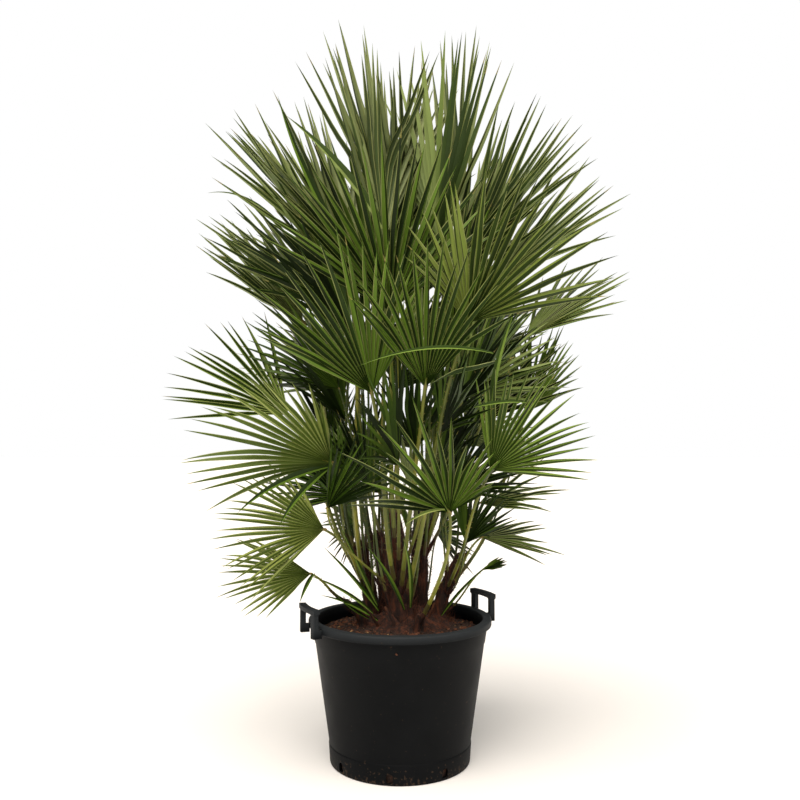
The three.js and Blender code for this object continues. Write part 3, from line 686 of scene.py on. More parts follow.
def makeLeafBases():
    draw = randomFrom(leafBase["seed"])
    rings = []
    for share in (0, 0.35, 0.8, 1):
        half = lerp(leafBase["footWidth"], leafBase["endWidth"], share ** 0.7) / 2
        thick = leafBase["thickness"] / 2 * lerp(1, 0.75, share)
        z = lerp(-8, leafBase["length"] - 8, share)
        rings.append([[half, 0, z], [half * 0.6, thick, z], [-half * 0.6, thick, z], [-half, 0, z],
                      [-half * 0.5, -thick * 0.5, z], [half * 0.5, -thick * 0.5, z]])
    wedge = meshObject("leaf base wedge", *loft(rings))
    points, aims, sizes = [], [], []
    for stem in stems.values():
        height = stem["tip"][2] - soil["top"]
        for i in range(int(height / leafBase["step"])):
            share = (i + 0.5) * leafBase["step"] / height
            angle = math.radians(i * leafBase["goldenAngle"] + 30 * draw())
            way = level(angle)
            points.append(stemCentre(stem, share) + way * stemRadius(stem, share) * leafBase["sunk"])
            aims.append(unit(stemDirection(stem, share) + way * leafBase["lean"] * lerp(0.5, 1.2, draw())))
            bulk = clamp(stemRadius(stem, share) / 34, 0.35, 1)
            sizes.append(lerp(leafBase["sizeFrom"], leafBase["sizeTo"], draw()) * bulk)
    for point, aim, size in leafBase["stubs"]:
        points.append(np.array(point, float))
        aims.append(unit(np.array(aim)))
        sizes.append(size)
    marks = markedMesh("leaf base marks", points, aims, sizes)
    made = grownMesh("leafBases", marks, placingTree, {"Copy": wedge, "Seed": leafBase["seed"],
                                                        "Material": leafBaseWood})
    bpy.data.objects.remove(wedge)
    return made


# Sheath threads that stand off the bark, each a thin bent spike of three sides.
thread = {"length": 34, "thickness": 1.0, "bend": 6, "density": 13000, "seed": 12}


def makeThreads(name, bark, rise=1.6, unrest=0.8):
    rings = []
    for share in (0, 0.3, 0.6, 0.85, 1):
        radius = thread["thickness"] / 2 * (1 - 0.9 * share)
        centre = [thread["bend"] * share ** 2, 0, thread["length"] * share - 3]
        rings.append([[centre[0] + radius * math.cos(a), radius * math.sin(a), centre[2]]
                      for a in around(3)])
    spike = meshObject("thread spike", *loft(rings))
    ground = bark.copy()
    ground.data = bark.data.copy()
    scene.collection.objects.link(ground)
    made = grownMesh(name, ground, strewingTree, {
        "Copy": spike, "Density": thread["density"], "Smallest": 0.35, "Largest": 1.1,
        "Towards": (0, 0, rise), "Unrest": unrest, "Seed": thread["seed"], "Material": fibreThread})
    bpy.data.objects.remove(spike)
    return made


stemBark = makeStemBark()
smooth(stemBark, 80)
sheathThreads = makeThreads("sheathThreads", stemBark)
settle(stemBark, "stem", *stemNodes)
settle(makeLeafBases(), "stem", *stemNodes)
settle(sheathThreads, "stem", *stemNodes)
print("stage: stems")


# Soil

mix = {"rings": 26, "sides": 72, "bump": 5, "bumpPatch": 22, "mound": 6}
# Composted bark, wet brown in the hollows and rust where it has dried.
wetBark = mottle(newMaterial("composted bark, wet", "#33211a", 0.9, 1.45),
                 ["#140c08", "#291a12", "#44291b"], 14, (1, 1, 1), 2, 4)
chips = {
    "darkBarkChips": {"hex": "#2b1a11", "size": [11, 7, 3], "density": 9000, "seed": 21},
    "rustBarkChips": {"hex": "#55301b", "size": [13, 6, 3], "density": 5200, "seed": 22},
    "paleWoodChips": {"hex": "#8f6f4a", "size": [9, 3, 2], "density": 700, "seed": 23},
}


def soilHeight(r):
    flat = soil["flatRadius"]
    edge = potOutside(soil["top"] - soil["dip"]) - pot["wall"]
    if r < flat:
        return soil["top"] - 1 + mix["mound"] * (1 - (r / flat) ** 2)
    return lerp(soil["top"] - 1, soil["top"] - soil["dip"], (r - flat) / (edge - flat))


def makeSoil():
    edge = potOutside(soil["top"] - soil["dip"]) - pot["wall"] - 2.3
    points, faces = [[0, 0, soilHeight(0)]], []
    for ring in range(1, mix["rings"] + 1):
        r = edge * ring / mix["rings"]
        for side in range(mix["sides"]):
            a = 2 * math.pi * side / mix["sides"]
            x, y = r * math.cos(a), r * math.sin(a)
            swell = mix["bump"] * noise.noise(Vector((x, y, 0)) / mix["bumpPatch"])
            points.append([x, y, soilHeight(r) + swell])
    for side in range(mix["sides"]):
        after = (side + 1) % mix["sides"]
        faces.append([0, 1 + side, 1 + after])
        for ring in range(mix["rings"] - 1):
            a, b = 1 + ring * mix["sides"] + side, 1 + ring * mix["sides"] + after
            faces.append([a, a + mix["sides"], b + mix["sides"], b])
    outer = 1 + (mix["rings"] - 1) * mix["sides"]
    depth = len(points)
    footRadius = potOutside(pot["floor"]) - pot["wall"] - 1
    for side in range(mix["sides"]):
        a = 2 * math.pi * side / mix["sides"]
        points.append([footRadius * math.cos(a), footRadius * math.sin(a), pot["floor"] + 0.3])
    for side in range(mix["sides"]):
        after = (side + 1) % mix["sides"]
        faces.append([outer + after, outer + side, depth + side, depth + after])
    faces.append([depth + side for side in range(mix["sides"])][::-1])
    return meshObject("pottingMix", points, faces, wetBark)


# Chips lie at all angles on the top of the mix only.
def makeChips(name, kind, ground):
    a, b, c = kind["size"]
    shares = [[-1, -0.8, -1], [0.8, -1, -1], [1, 0.7, -1], [-0.7, 1, -1],
              [-0.9, -0.6, 1], [0.7, -0.8, 0.7], [0.85, 0.5, 1], [-0.6, 0.8, 0.8]]
    corners = [[a * x, b * y, c * z] for x, y, z in shares]
    sides = [[3, 2, 1, 0], [4, 5, 6, 7], [0, 1, 5, 4], [1, 2, 6, 5], [2, 3, 7, 6], [3, 0, 4, 7]]
    chip = meshObject(name + " shape", np.array(corners) / 2, sides)
    patch = meshObject(name + " ground", [np.array(v.co) / mm for v in ground.data.vertices],
                       [list(f.vertices) for f in ground.data.polygons if f.normal.z > 0.5])
    made = grownMesh(name, patch, strewingTree, {
        "Copy": chip, "Density": float(kind["density"]), "Smallest": 0.5, "Largest": 1.5,
        "Towards": (0, 0, 0.4), "Unrest": 0.8, "Seed": kind["seed"],
        "Material": newMaterial(name, kind["hex"], 0.88, 1.45)})
    bpy.data.objects.remove(chip)
    settle(made, "soil", "soil")


pottingMix = makeSoil()
smooth(pottingMix, 70)
for name, kind in chips.items():
    makeChips(name, kind, pottingMix)
settle(pottingMix, "soil", "soil")
print("stage: soil")


# The matted mound of old sheaths from which the stems rise, with loose fibre all over it.
mound = {"centre": (14, 32), "radius": 116, "height": 30, "rings": 18, "sides": 64, "lump": 22,
         "lumpShare": 0.8, "tuckedIn": 5}


def makeMound():
    rings = []
    for ring in range(mound["rings"]):
        share = 1 - ring / mound["rings"]
        row = []
        for side in range(mound["sides"]):
            a = 2 * math.pi * side / mound["sides"]
            x = mound["centre"][0] + mound["radius"] * share * math.cos(a)
            y = mound["centre"][1] + mound["radius"] * share * math.sin(a)
            lump = noise.noise(Vector((x, y, 7)) / mound["lump"])
            rise = mound["height"] * (1 - share ** 2) * (1 + mound["lumpShare"] * lump)
            rise -= mound["tuckedIn"] * share ** 4
            row.append([x, y, soilHeight(math.hypot(x, y)) + rise])
        rings.append(row)
    return meshObject("fibreMound", *loft(rings), sheathFibre)


fibreMound = makeMound()
smooth(fibreMound, 70)
settle(makeThreads("moundThreads", fibreMound, 0.3, 1.6), "stem", *stemNodes)
settle(fibreMound, "stem", *stemNodes)
print("stage: mound of fibre")


# Fronds: the source's places in the same words, with the tone of each fan added. For the likeness,
# crown_left and crown_right lean otherwise, right_low is nearer the front, left_rear is shorter, three
# front petioles have seats of their own, and front_right, front_low, right_skirt and right_reach are
# sparser.

leaflet = {"spacing": 5.3, "webShare": 0.3, "edgeWeb": 0.3, "widthShare": 0.037, "narrowest": 9,
           "widest": 15, "foldDepth": 0.6, "cup": 4, "sag": 0.035, "rib": 1.6, "ribThins": 0.75,
           "webRings": 4, "freeRings": 10, "ringsCrowd": 0.92, "fullAt": 0.3, "tapersFrom": 0.22,
           "taper": 1.7, "settles": 2.2, "dryShare": 0.22, "dryFrom": 2, "coarseRings": (2, 4),
           "jitter": {"lift": 8, "swing": 2.4, "twist": 22, "bend": 0.09, "web": 0.14}}


def frond(stem, hub, lean, fore, turn, spread, blade, edge, tone, seat=None, bearing=None, spacing=None,
          shortest=0.93):
    return {"stem": stem, "hub": hub, "lean": lean, "fore": fore, "turn": turn, "spread": spread,
            "blade": blade, "edge": edge, "tone": tone, "seat": seat, "bearing": bearing,
            "spacing": spacing or leaflet["spacing"], "shortest": shortest}


# The tone of each fan is partly its own colour and partly painted light and shade: the pale slate of the top
# fans is partly painted sheen from above, and the dark deep tone of the fans inside the crown is painted
# shade.
frontFronds = {
    "crown_left": frond("main", [-30, 40, 1237], -5, 0, 63, [46, 46], 505, 0.86, "slate"),
    "crown_middle": frond("main", [6, 130, 1252], 9, -3, 62, [44, 46], 455, 0.85, "slate"),
    "crown_right": frond("back", [115, 50, 1225], 1, 0, -71, [46, 46], 500, 0.88, "slate"),
    "right_high": frond("back", [178, 110, 1172], 26, -3, -58, [48, 48], 445, 0.88, "grey"),
    "right_upper": frond("back", [215, 35, 1094], 41, 4, -62, [46, 44], 390, 0.88, "grey"),
    "front_right": frond("main", [139, -265, 966], 31, 24, -20, [82, 46], 345, 0.6, "olive", 0.2, -62, 6),
    "front_middle": frond("main", [52, -225, 836], 5, 26, 14, [44, 62], 325, 0.62, "mid", 0.28, -80),
    "front_left": frond("main", [-58, -225, 824], -20, 22, 22, [42, 58], 362, 0.62, "mid", 0.34, -106),
    "centre_high": frond("main", [-21, -90, 1016], -3, 22, 16, [56, 60], 412, 0.85, "mid"),
    "left_high": frond("main", [-140, 30, 1128], -31, 4, 66, [44, 46], 470, 0.88, "grey"),
    "left_higher": frond("left", [-105, 100, 1152], -18, -3, 60, [46, 46], 480, 0.88, "slate"),
    "left_mid": frond("left", [-225, -12, 1002], -42, 4, 58, [40, 44], 328, 0.8, "grey"),
    "left_side": frond("left", [-256, -30, 785], -52, 8, 26, [40, 42], 290, 0.92, "bright"),
    "left_low": frond("left", [-146, -150, 679], -72, 22, -26, [38, 60], 328, 0.52, "lime"),
    "left_skirt": frond("left", [-165, -120, 533], -90, 18, 18, [42, 66], 246, 0.62, "lime"),
    "left_droop": frond("sprout_left", [-198, -80, 431], -84, 8, 28, [48, 32], 210, 0.6, "lime", 0.96),
    "left_inner": frond("main", [-155, -165, 584], 40, 20, 24, [36, 40], 188, 0.8, "deep"),
    "front_low": frond("sprout_front", [102, -220, 579], -34, 24, -14, [58, 96], 290, 0.5, "mid",
                       spacing=8.5, shortest=0.6),
    "right_low": frond("right", [185, -235, 665], 34, 22, -24, [52, 54], 247, 0.85, "bright"),
    "right_mid": frond("right", [314, 90, 798], 28, -10, 34, [22, 42], 240, 0.65, "mid"),
    "right_side": frond("back", [298, 10, 974], 51, 2, -66, [50, 50], 278, 0.85, "bright"),
    "right_skirt": frond("right", [192, 30, 499], 88, -4, -62, [44, 44], 202, 0.8, "mid", spacing=8,
                         shortest=0.7),
    "right_reach": frond("right", [188, 40, 578], 74, 0, -60, [44, 44], 242, 0.85, "bright", spacing=7.5,
                         shortest=0.7),
    "right_young": frond("right", [198, 56, 419], 66, 0, 30, [22, 22], 62, 0.8, "mid"),
    "right_inner": frond("back", [141, -60, 819], 26, 24, -66, [48, 48], 300, 0.85, "deep"),
    "low_inner": frond("back", [95, 30, 672], 18, 18, -62, [46, 46], 270, 0.85, "deep"),
    "mid_inner": frond("main", [-6, -110, 672], -10, 38, 66, [48, 48], 270, 0.85, "deep"),
    "mid_inner_right": frond("main", [88, -104, 742], 14, 34, -66, [46, 46], 275, 0.85, "deep"),
    "left_rear": frond("left", [-180, 190, 727], -6, -10, 42, [36, 40], 200, 0.85, "deep"),
    "left_inner_high": frond("left", [-113, -40, 967], -24, 16, 64, [46, 46], 340, 0.85, "deep"),
}
rearTiers = [
    {"count": 4, "from": 48, "to": 132, "reach": 215, "height": 487, "lean": 84, "blade": 235,
     "stems": ["right", "back", "rear", "left"]},
    {"count": 5, "from": 44, "to": 132, "reach": 265, "height": 707, "lean": 62, "blade": 270,
     "stems": ["right", "back", "rear", "left"]},
    {"count": 5, "from": 42, "to": 122, "reach": 250, "height": 932, "lean": 45, "blade": 320,
     "stems": ["back", "rear", "left"]},
    {"count": 4, "from": 50, "to": 134, "reach": 165, "height": 1112, "lean": 26, "blade": 400,
     "stems": ["back", "rear", "main"]},
]
# Fans that grow from the same stems inside the reach of the others, and fill the crown; the low ones take the
# dark deep tone as painted shade.
innerFronds = {
    "fill_crown_left": frond("main", [-38, 10, 1201], -2, 2, 50, [34, 34], 498, 0.88, "slate", 0.3, -110),
    "fill_crown_right": frond("back", [92, 10, 1204], -3, 2, -56, [40, 40], 485, 0.88, "grey", 0.35, -60),
    "fill_shoulder_right": frond("back", [149, 70, 1155], 17, 2, -52, [36, 42], 445, 0.88, "grey"),
    "fill_shoulder_left": frond("left", [-125, 60, 1141], -33, 2, 58, [32, 34], 455, 0.88, "grey"),
    "fill_left_mid": frond("left", [-160, 30, 1032], -48, 4, 52, [36, 30], 385, 0.88, "grey"),
    "fill_left_core": frond("left", [-129, 10, 774], -14, 6, 48, [48, 40], 270, 0.85, "deep", 0.2, -70),
    "fill_centre": frond("main", [35, -20, 704], 4, 12, 40, [46, 46], 262, 0.85, "deep", 0.12, -95),
    "fill_right_mid": frond("right", [306, 80, 794], 4, 2, 22, [30, 26], 230, 0.8, "mid"),
    "fill_right_core": frond("back", [179, 50, 763], 36, 4, -44, [46, 46], 305, 0.85, "mid"),
    "fill_left_low": frond("left", [-136, -60, 592], -4, 12, 44, [46, 46], 195, 0.85, "deep"),
    "fill_front_low": frond("right", [150, -50, 494], 14, 8, -40, [48, 48], 165, 0.85, "deep"),
    "fill_high": frond("main", [-60, 0, 1078], -14, 4, 34, [46, 46], 400, 0.88, "mid", 0.1, -125),
    "fill_high_right": frond("main", [100, 0, 1062], 16, 4, -38, [46, 46], 390, 0.88, "mid", 0.16, -60),
    "fill_low_left": frond("main", [-70, -20, 622], -16, 12, 40, [46, 46], 215, 0.85, "deep", 0.22, -150),
    "fill_low_right": frond("main", [60, -60, 582], 20, 14, -36, [46, 46], 200, 0.85, "deep", 0.3, -78),
}
innerTiers = [
    {"count": 6, "from": -28, "to": 208, "reach": 120, "height": 622, "lean": 50, "blade": 225,
     "stems": ["right", "back", "rear", "left"]},
    {"count": 7, "from": -30, "to": 210, "reach": 145, "height": 832, "lean": 42, "blade": 275,
     "stems": ["back", "rear", "left"]},
    {"count": 6, "from": -24, "to": 204, "reach": 125, "height": 1012, "lean": 28, "blade": 345,
     "stems": ["back", "rear", "left", "main"]},
]
tierJitter = {"bearing": 7, "height": 28, "lean": 5, "turn": 34}
tierTones = ["deep", "mid", "grey", "deep", "mid"]
plantSeed = 41
petiole = {"footWidth": 13, "hubWidth": 7, "depthShare": 0.7, "steps": 26, "intoBlade": 0.07,
           "highFoot": 0.72, "footDrop": 0.5, "rooted": 0.5, "innerScale": 0.68, "dry": 14,
           "fading": 34, "fanned": 110, "gap": 0.8, "stemGap": 0.3, "leaves": 0.3, "leavesMore": 1.1,
           "stemPull": 0.4, "hubPull": 0.35, "turnsToBlade": 0.45, "lookSteps": 40}
petioleTries = {"bow": [0, 14, -14, 28, -28], "lift": [0, -0.07, 0.06, -0.14, -0.21],
                "swing": [0, 14, -14, 28, -28, 42, -42, 60, -60]}


def tieredFronds(prefix, tiers, draw):
    def vary(amount):
        return lerp(-amount, amount, draw())

    made = {}
    for tierIndex, tier in enumerate(tiers):
        for i in range(tier["count"]):
            bearing = math.radians(lerp(tier["from"], tier["to"], (i + 0.5) / tier["count"])
                                   + vary(tierJitter["bearing"]))
            z = tier["height"] + vary(tierJitter["height"])
            hub = [tier["reach"] * math.cos(bearing), tier["reach"] * math.sin(bearing), z]
            tilt = math.radians(tier["lean"] + vary(tierJitter["lean"]))
            away = math.sin(tilt) * math.sin(bearing)
            nearest = min(tier["stems"], key=lambda name: math.dist(stems[name]["tip"][:2], hub[:2]))
            lean = math.degrees(math.atan2(math.sin(tilt) * math.cos(bearing), math.cos(tilt)))
            made[f"{prefix}_{tierIndex + 1}_{i + 1}"] = frond(
                nearest, hub, lean, -math.degrees(math.asin(away)), vary(tierJitter["turn"]), [50, 50],
                tier["blade"], 0.8, tierTones[(i + 2 * tierIndex) % len(tierTones)])
    return made


# Axes of a blade: along its middle leaflet, out of its upper face, and across it.
def bladeAxes(one):
    lean, fore = math.radians(one["lean"]), math.radians(one["fore"])
    axis = np.array([math.sin(lean) * math.cos(fore), -math.sin(fore), math.cos(lean) * math.cos(fore)])
    front = np.array([0, -1.0, 0])
    face = unit(front - axis * front.dot(axis))
    face = np.array(Matrix.Rotation(math.radians(one["turn"]), 3, Vector(axis)) @ Vector(face))
    side = np.cross(face, axis)
    tip = np.array(stems[one["stem"]]["tip"], float)
    inwards = tip - np.array(one["hub"], float)
    inwards[2] = 0
    inwards = unit(inwards) + up
    if face.dot(inwards) < 0:
        return {"axis": axis, "face": -face, "side": -side, "mirrored": True}
    return {"axis": axis, "face": face, "side": side, "mirrored": False}


def petioleScale(one):
    return clamp(one["blade"] / 320, 0.5, 1.0) * (petiole["innerScale"] if one["inner"] else 1)


# Centre line of a petiole: four control points, from inside its stem to the hub of the blade.
def petiolePath(one, axes, bow, lift, swing):
    stem = stems[one["stem"]]
    hub = np.array(one["hub"], float)
    reach = hub - np.array(stem["tip"], float)
    outwards = math.atan2(math.hypot(reach[0], reach[1]), reach[2]) / math.radians(petiole["fanned"])
    seat = one["seat"] or petiole["highFoot"] - petiole["footDrop"] * outwards
    share = clamp(seat + lift, min(seat, 0.08), 0.96)
    bearing = math.atan2(reach[1], reach[0]) if one["bearing"] is None else math.radians(one["bearing"])
    bearing += math.radians(swing)
    radial = level(bearing)
    start = stemCentre(stem, share) + radial * stemRadius(stem, share) * petiole["rooted"]
    leave = unit(stemDirection(stem, share)
                 + radial * (petiole["leaves"] + petiole["leavesMore"] * outwards))
    length = np.linalg.norm(hub - start)
    chord = unit(hub - start)
    arrive = unit(lerp(chord, axes["axis"], petiole["turnsToBlade"]))
    sideways = unit(np.cross(chord, leave))
    control = [start, start + leave * length * petiole["stemPull"] + sideways * bow,
               hub - arrive * length * petiole["hubPull"] + sideways * bow, hub]
    return {"control": control, "radial": radial}


def onPath(path, t):
    a, b, c, d = path["control"]
    point = a * (1 - t) ** 3 + b * 3 * t * (1 - t) ** 2 + c * 3 * t * t * (1 - t) + d * t ** 3
    tangent = (b - a) * 3 * (1 - t) ** 2 + (c - b) * 6 * t * (1 - t) + (d - c) * 3 * t * t
    return point, unit(tangent)


# Half-round section: a flat upper side that turns from the stem's side to the blade's face.
def petioleRings(one, axes, path, grow=0.0, start=0.0, end=1.0):
    upper = -path["radial"]
    face = -axes["face"] if axes["face"].dot(upper) < 0 else axes["face"]
    rings, middles, sides = [], [], []
    for i in range(petiole["steps"] + (2 if end == 1 else 1)):
        share = min(lerp(start, end, i / petiole["steps"]), 1)
        point, tangent = onPath(path, share)
        side = unit(np.cross(lerp(upper, face, share), tangent))
        out = np.cross(tangent, side)
        width = lerp(petiole["footWidth"], petiole["hubWidth"], math.sqrt(share)) * petioleScale(one)
        if i > petiole["steps"]:
            point = point + axes["axis"] * one["blade"] * petiole["intoBlade"]
            width *= 0.6
        half, depth = width / 2 + grow, width * petiole["depthShare"] + grow
        arc = np.radians(np.linspace(0, -180, 7))
        ring = [point + side * half * math.cos(a) + out * (depth * 0.4 + depth * math.sin(a)) for a in arc]
        ring.append(point + out * depth * 0.28)
        rings.append(ring[::-1])
        middles.append(point)
        sides.append(side * half)
    return np.array(rings), np.array(middles), np.array(sides)


# The old sheath round a petiole's foot: a little wider than the petiole, its end torn and drawn in.
sheath = {"length": 24, "over": 1.0, "drawnIn": 0.7, "torn": 12, "longest": 0.3}


def sheathRings(one, axes, path, out):
    span = np.linalg.norm(path["control"][3] - path["control"][0])
    end = min(out + sheath["length"] / span, sheath["longest"])
    rings, middles, _ = petioleRings(one, axes, path, sheath["over"], 0, end)
    ahead = unit(middles[-1] - middles[-2])
    last = len(rings) - 1
    for i in range(last + 1):
        t = max(0, (i / last - 0.6) / 0.4)
        rings[i] = middles[i] + (rings[i] - middles[i]) * lerp(1, sheath["drawnIn"], t)
        for k in range(rings.shape[1]):
            rings[i, k] += ahead * sheath["torn"] * t * noise.noise(Vector(rings[0, k] * 0.21))
    return rings


def treeOf(points, faces):
    return BVHTree.FromPolygons(np.asarray(points).tolist(), faces)


def treeOfAll(shells):
    heap = Heap()
    for shell in shells:
        heap.add(*shell)
    return treeOf(np.concatenate(heap.points), heap.faces)


# The share of a path at which it comes out of its own stem.
def leavesStem(one, path):
    stem = stems[one["stem"]]
    looks = petiole["lookSteps"]
    centres = [stemCentre(stem, s) for s in np.linspace(0, 1, looks)]
    for step in range(looks):
        point, _ = onPath(path, step / looks)
        share = clamp((point[2] - soil["top"]) / (stem["tip"][2] - soil["top"]), 0, 1)
        near = min(centres, key=lambda c: abs(c[2] - point[2]))
        if np.linalg.norm((point - near)[:2]) > stemRadius(stem, share) or point[2] > stem["tip"][2]:
            return step / looks
    return 0.0


# A petiole at its own place, or else swung, lifted and bowed until it is clear of the others.
def placedPath(one, axes, inTheWay):
    for bow in petioleTries["bow"]:
        for lift in petioleTries["lift"]:
            for swing in petioleTries["swing"]:
                path = petiolePath(one, axes, bow, lift, swing)
                out = leavesStem(one, path)
                shell = loft(petioleRings(one, axes, path, petiole["gap"], out)[0])
                if not treeOf(*shell).overlap(inTheWay):
                    return path, shell
    return petiolePath(one, axes, 0, 0, 0), None


liftTries = [0, 4, -4, 8, -8, 12, -12, 17, -17]


def leafletsOf(one, axes, draw):
    high, low = one["spread"][::-1] if axes["mirrored"] else one["spread"]
    count = max(6, round((high + low) / one["spacing"]))
    step = (high + low) / count
    jitter = leaflet["jitter"]
    rows = []
    for i in range(count):
        angle = -low + step * (i + 0.5)
        outer = abs(angle) / max(high, low)
        rows.append({
            "angle": angle, "step": step,
            "length": one["blade"] * lerp(1, one["edge"], outer ** 2) * lerp(one["shortest"], 1.03, draw()),
            "lift": lerp(-1, 1, draw()) * jitter["lift"],
            "swing": lerp(-1, 1, draw()) * jitter["swing"],
            "twist": lerp(-1, 1, draw()) * jitter["twist"],
            "bend": draw() ** 3 * jitter["bend"],
            "web": leaflet["webShare"] * lerp(1 - jitter["web"], 1 + jitter["web"], draw())
                   * lerp(1, leaflet["edgeWeb"], outer ** 2.5),
            "dry": draw() < leaflet["dryShare"],
        })
    return rows


# Rings of four points along a leaflet: its two edges, and the upper and lower side of its folded rib.
def leafletRings(one, axes, row, lift, webRings, freeRings):
    hub = np.array(one["hub"], float)
    axis, face, side = axes["axis"], axes["face"], axes["side"]

    def towards(angle, rise):
        a, c = np.radians(angle), np.radians(rise)
        a, c = np.atleast_1d(a)[:, None], np.atleast_1d(c)[:, None]
        return axis * np.cos(a) * np.cos(c) + side * np.sin(a) * np.cos(c) + face * np.sin(c)

    def cupAt(angle):
        return leaflet["cup"] * (angle / 60) ** 2

    web = row["web"] * one["blade"]
    half = row["step"] / 2
    angle, cup = row["angle"], cupAt(row["angle"])
    spread = math.radians(row["step"])
    near = np.linspace(0.02, 1, webRings)[:, None] * web
    left = hub + towards(angle - half, cupAt(angle - half)) * near
    right = hub + towards(angle + half, cupAt(angle + half)) * near
    fold = spread * near * leaflet["foldDepth"]
    middle = hub + towards(angle, cup) * near - face * fold
    t = (np.arange(1, freeRings + 1) / freeRings) ** leaflet["ringsCrowd"]
    ease = np.minimum(1, leaflet["settles"] * t)
    heading = towards(angle + row["swing"] * ease, cup + (row["lift"] + lift) * ease)
    free = (row["length"] - web) * t[:, None]
    root = hub + towards(angle, cup) * web
    centre = root + heading * free
    centre = centre - up * row["length"] * ((leaflet["sag"] + row["bend"]) * t ** 2)[:, None]
    across = unitRows(np.cross(face, heading))
    above = np.cross(heading, across)
    turn = np.radians(row["twist"] * t)[:, None]
    across, above = across * np.cos(turn) + above * np.sin(turn), above * np.cos(turn) - across * np.sin(turn)
    full = clamp(leaflet["widthShare"] * one["blade"], leaflet["narrowest"], leaflet["widest"]) / 2
    swell = np.minimum(1, t / leaflet["fullAt"])
    wide = lerp(web * math.sin(spread / 2), full, swell * swell * (3 - 2 * swell))
    past = (t - leaflet["tapersFrom"]) / (1 - leaflet["tapersFrom"])
    wide = (wide * (1 - np.clip(past, 0, 1) ** leaflet["taper"]))[:, None]
    fold = wide * 2 * leaflet["foldDepth"]
    rib = np.concatenate([np.full(webRings, 1.0), 1 - leaflet["ribThins"] * t])[:, None] * leaflet["rib"]
    edgesLeft = np.concatenate([left, centre - across * wide])
    edgesRight = np.concatenate([right, centre + across * wide])
    ribTop = np.concatenate([middle, centre - above * fold])
    below = np.concatenate([np.repeat(face[None], webRings, 0), above])
    rings = np.stack([edgesRight, ribTop, edgesLeft, ribTop - below * rib], axis=1)
    rings[-1] = rings[-1].mean(axis=0)
    return rings


# The two halves of a folded leaflet, first the one that faces the softbox more, which takes the paler colour
# as painted light; the other takes the darker colour as painted shade.
def leafletHalves(rings):
    right, left = rings[:, [0, 1, 3]], rings[:, [1, 2, 3]]
    middle = rings[len(rings) // 2]
    rightWay = np.cross(middle[0] - middle[1], rings[-1][1] - middle[1])
    leftWay = np.cross(rings[-1][1] - middle[1], middle[2] - middle[1])
    sunWay = unit(np.array(lamps["softbox"]["from"]))
    facing = [unit(way) @ sunWay for way in (rightWay, leftWay)]
    if abs(facing[0]) > abs(facing[1]):
        return right, left
    return left, right


# A thin seam along each edge of a leaflet, proud of both its sides. Its paler colour is a painted highlight,
# and it is left off the deep fans, which stand in shade.
margin = {"width": 1.4, "share": 0.2, "proud": 0.35, "over": 0.25, "without": ["deep"]}


def marginRings(rings, edge):
    line, rib = rings[1:, edge], rings[1:, 1]
    inward = rib - line
    reach = np.linalg.norm(inward, axis=1)[:, None] + 1e-6
    inward = inward / reach
    ahead = np.gradient(line, axis=0)
    ahead = ahead / (np.linalg.norm(ahead, axis=1)[:, None] + 1e-6)
    above = np.cross(ahead, inward)
    width = np.minimum(margin["width"], reach * margin["share"])
    proud = above * margin["proud"] * np.minimum(1, width)
    seam = np.stack([line - inward * margin["over"], line + inward * width + proud,
                     line + inward * width - proud], axis=1)
    return seam[:-1] if edge else seam[:-1, ::-1]


fronds = {**frontFronds, **tieredFronds("rear", rearTiers, randomFrom(plantSeed)), **innerFronds,
          **tieredFronds("inner", innerTiers, randomFrom(plantSeed + 2))}
for name, one in fronds.items():
    one["axes"] = bladeAxes(one)
    one["inner"] = name not in frontFronds
grownStems = {}
for name, stem in stems.items():
    stemRings = [[stemCentre(stem, s) + level(a) * (stemRadius(stem, s) + petiole["stemGap"])
                  for a in around(10)] for s in np.linspace(0, 1, 7)]
    grownStems[name] = loft(stemRings)

thorn = {"length": 6, "foot": 2.2, "spacing": 17, "seed": 31, "firstStep": 6, "forwards": 0.7}
petioleParts = {"petioles": petioleSkin, "innerPetioles": paintedShadeSkin, "petioleFeet": footSkin,
                "petioleNecks": fadingSkin}
petioleHeaps, sheathHeap, petioleShells = {part: Heap() for part in petioleParts}, Heap(), {}
edgePoints, edgeAims, edgeChains = [], [], []
unplaced = 0
for name, one in fronds.items():
    others = [shell for stemName, shell in grownStems.items() if stemName != one["stem"]]
    path, shell = placedPath(one, one["axes"], treeOfAll([*petioleShells.values(), *others]))
    if shell is None:
        unplaced += 1
        shell = loft(petioleRings(one, one["axes"], path, 0, leavesStem(one, path))[0])
    petioleShells[name] = shell
    rings, middles, sides = petioleRings(one, one["axes"], path)
    bare = leavesStem(one, path) * petiole["steps"]
    span = np.linalg.norm(middles[-1] - middles[0]) / petiole["steps"]
    footEnd = max(1, round(bare + petiole["dry"] / span))
    neckEnd = footEnd + max(1, round(petiole["fading"] / span))
    petioleHeaps["petioleFeet"].add(*loft(rings[:footEnd + 1]))
    petioleHeaps["petioleNecks"].add(*loft(rings[footEnd:neckEnd + 1]))
    # The petioles of the inner fans take the darker skin as painted shade.
    petioleHeaps["innerPetioles" if one["inner"] else "petioles"].add(*loft(rings[neckEnd:]))
    sheathHeap.add(*loft(sheathRings(one, one["axes"], path, leavesStem(one, path))))
    first, last = thorn["firstStep"], petiole["steps"] - 1
    ahead = unitRows(np.gradient(middles, axis=0))
    for way in (-1, 1):
        base = len(edgePoints)
        for i in range(first, last):
            edgePoints.append(middles[i] + sides[i] * way)
            edgeAims.append(unit(unit(sides[i]) * way + ahead[i] * thorn["forwards"]))
        edgeChains += [[base + k, base + k + 1] for k in range(last - first - 1)]
print("petioles", len(fronds), "of which left at their own place though crowded", unplaced)

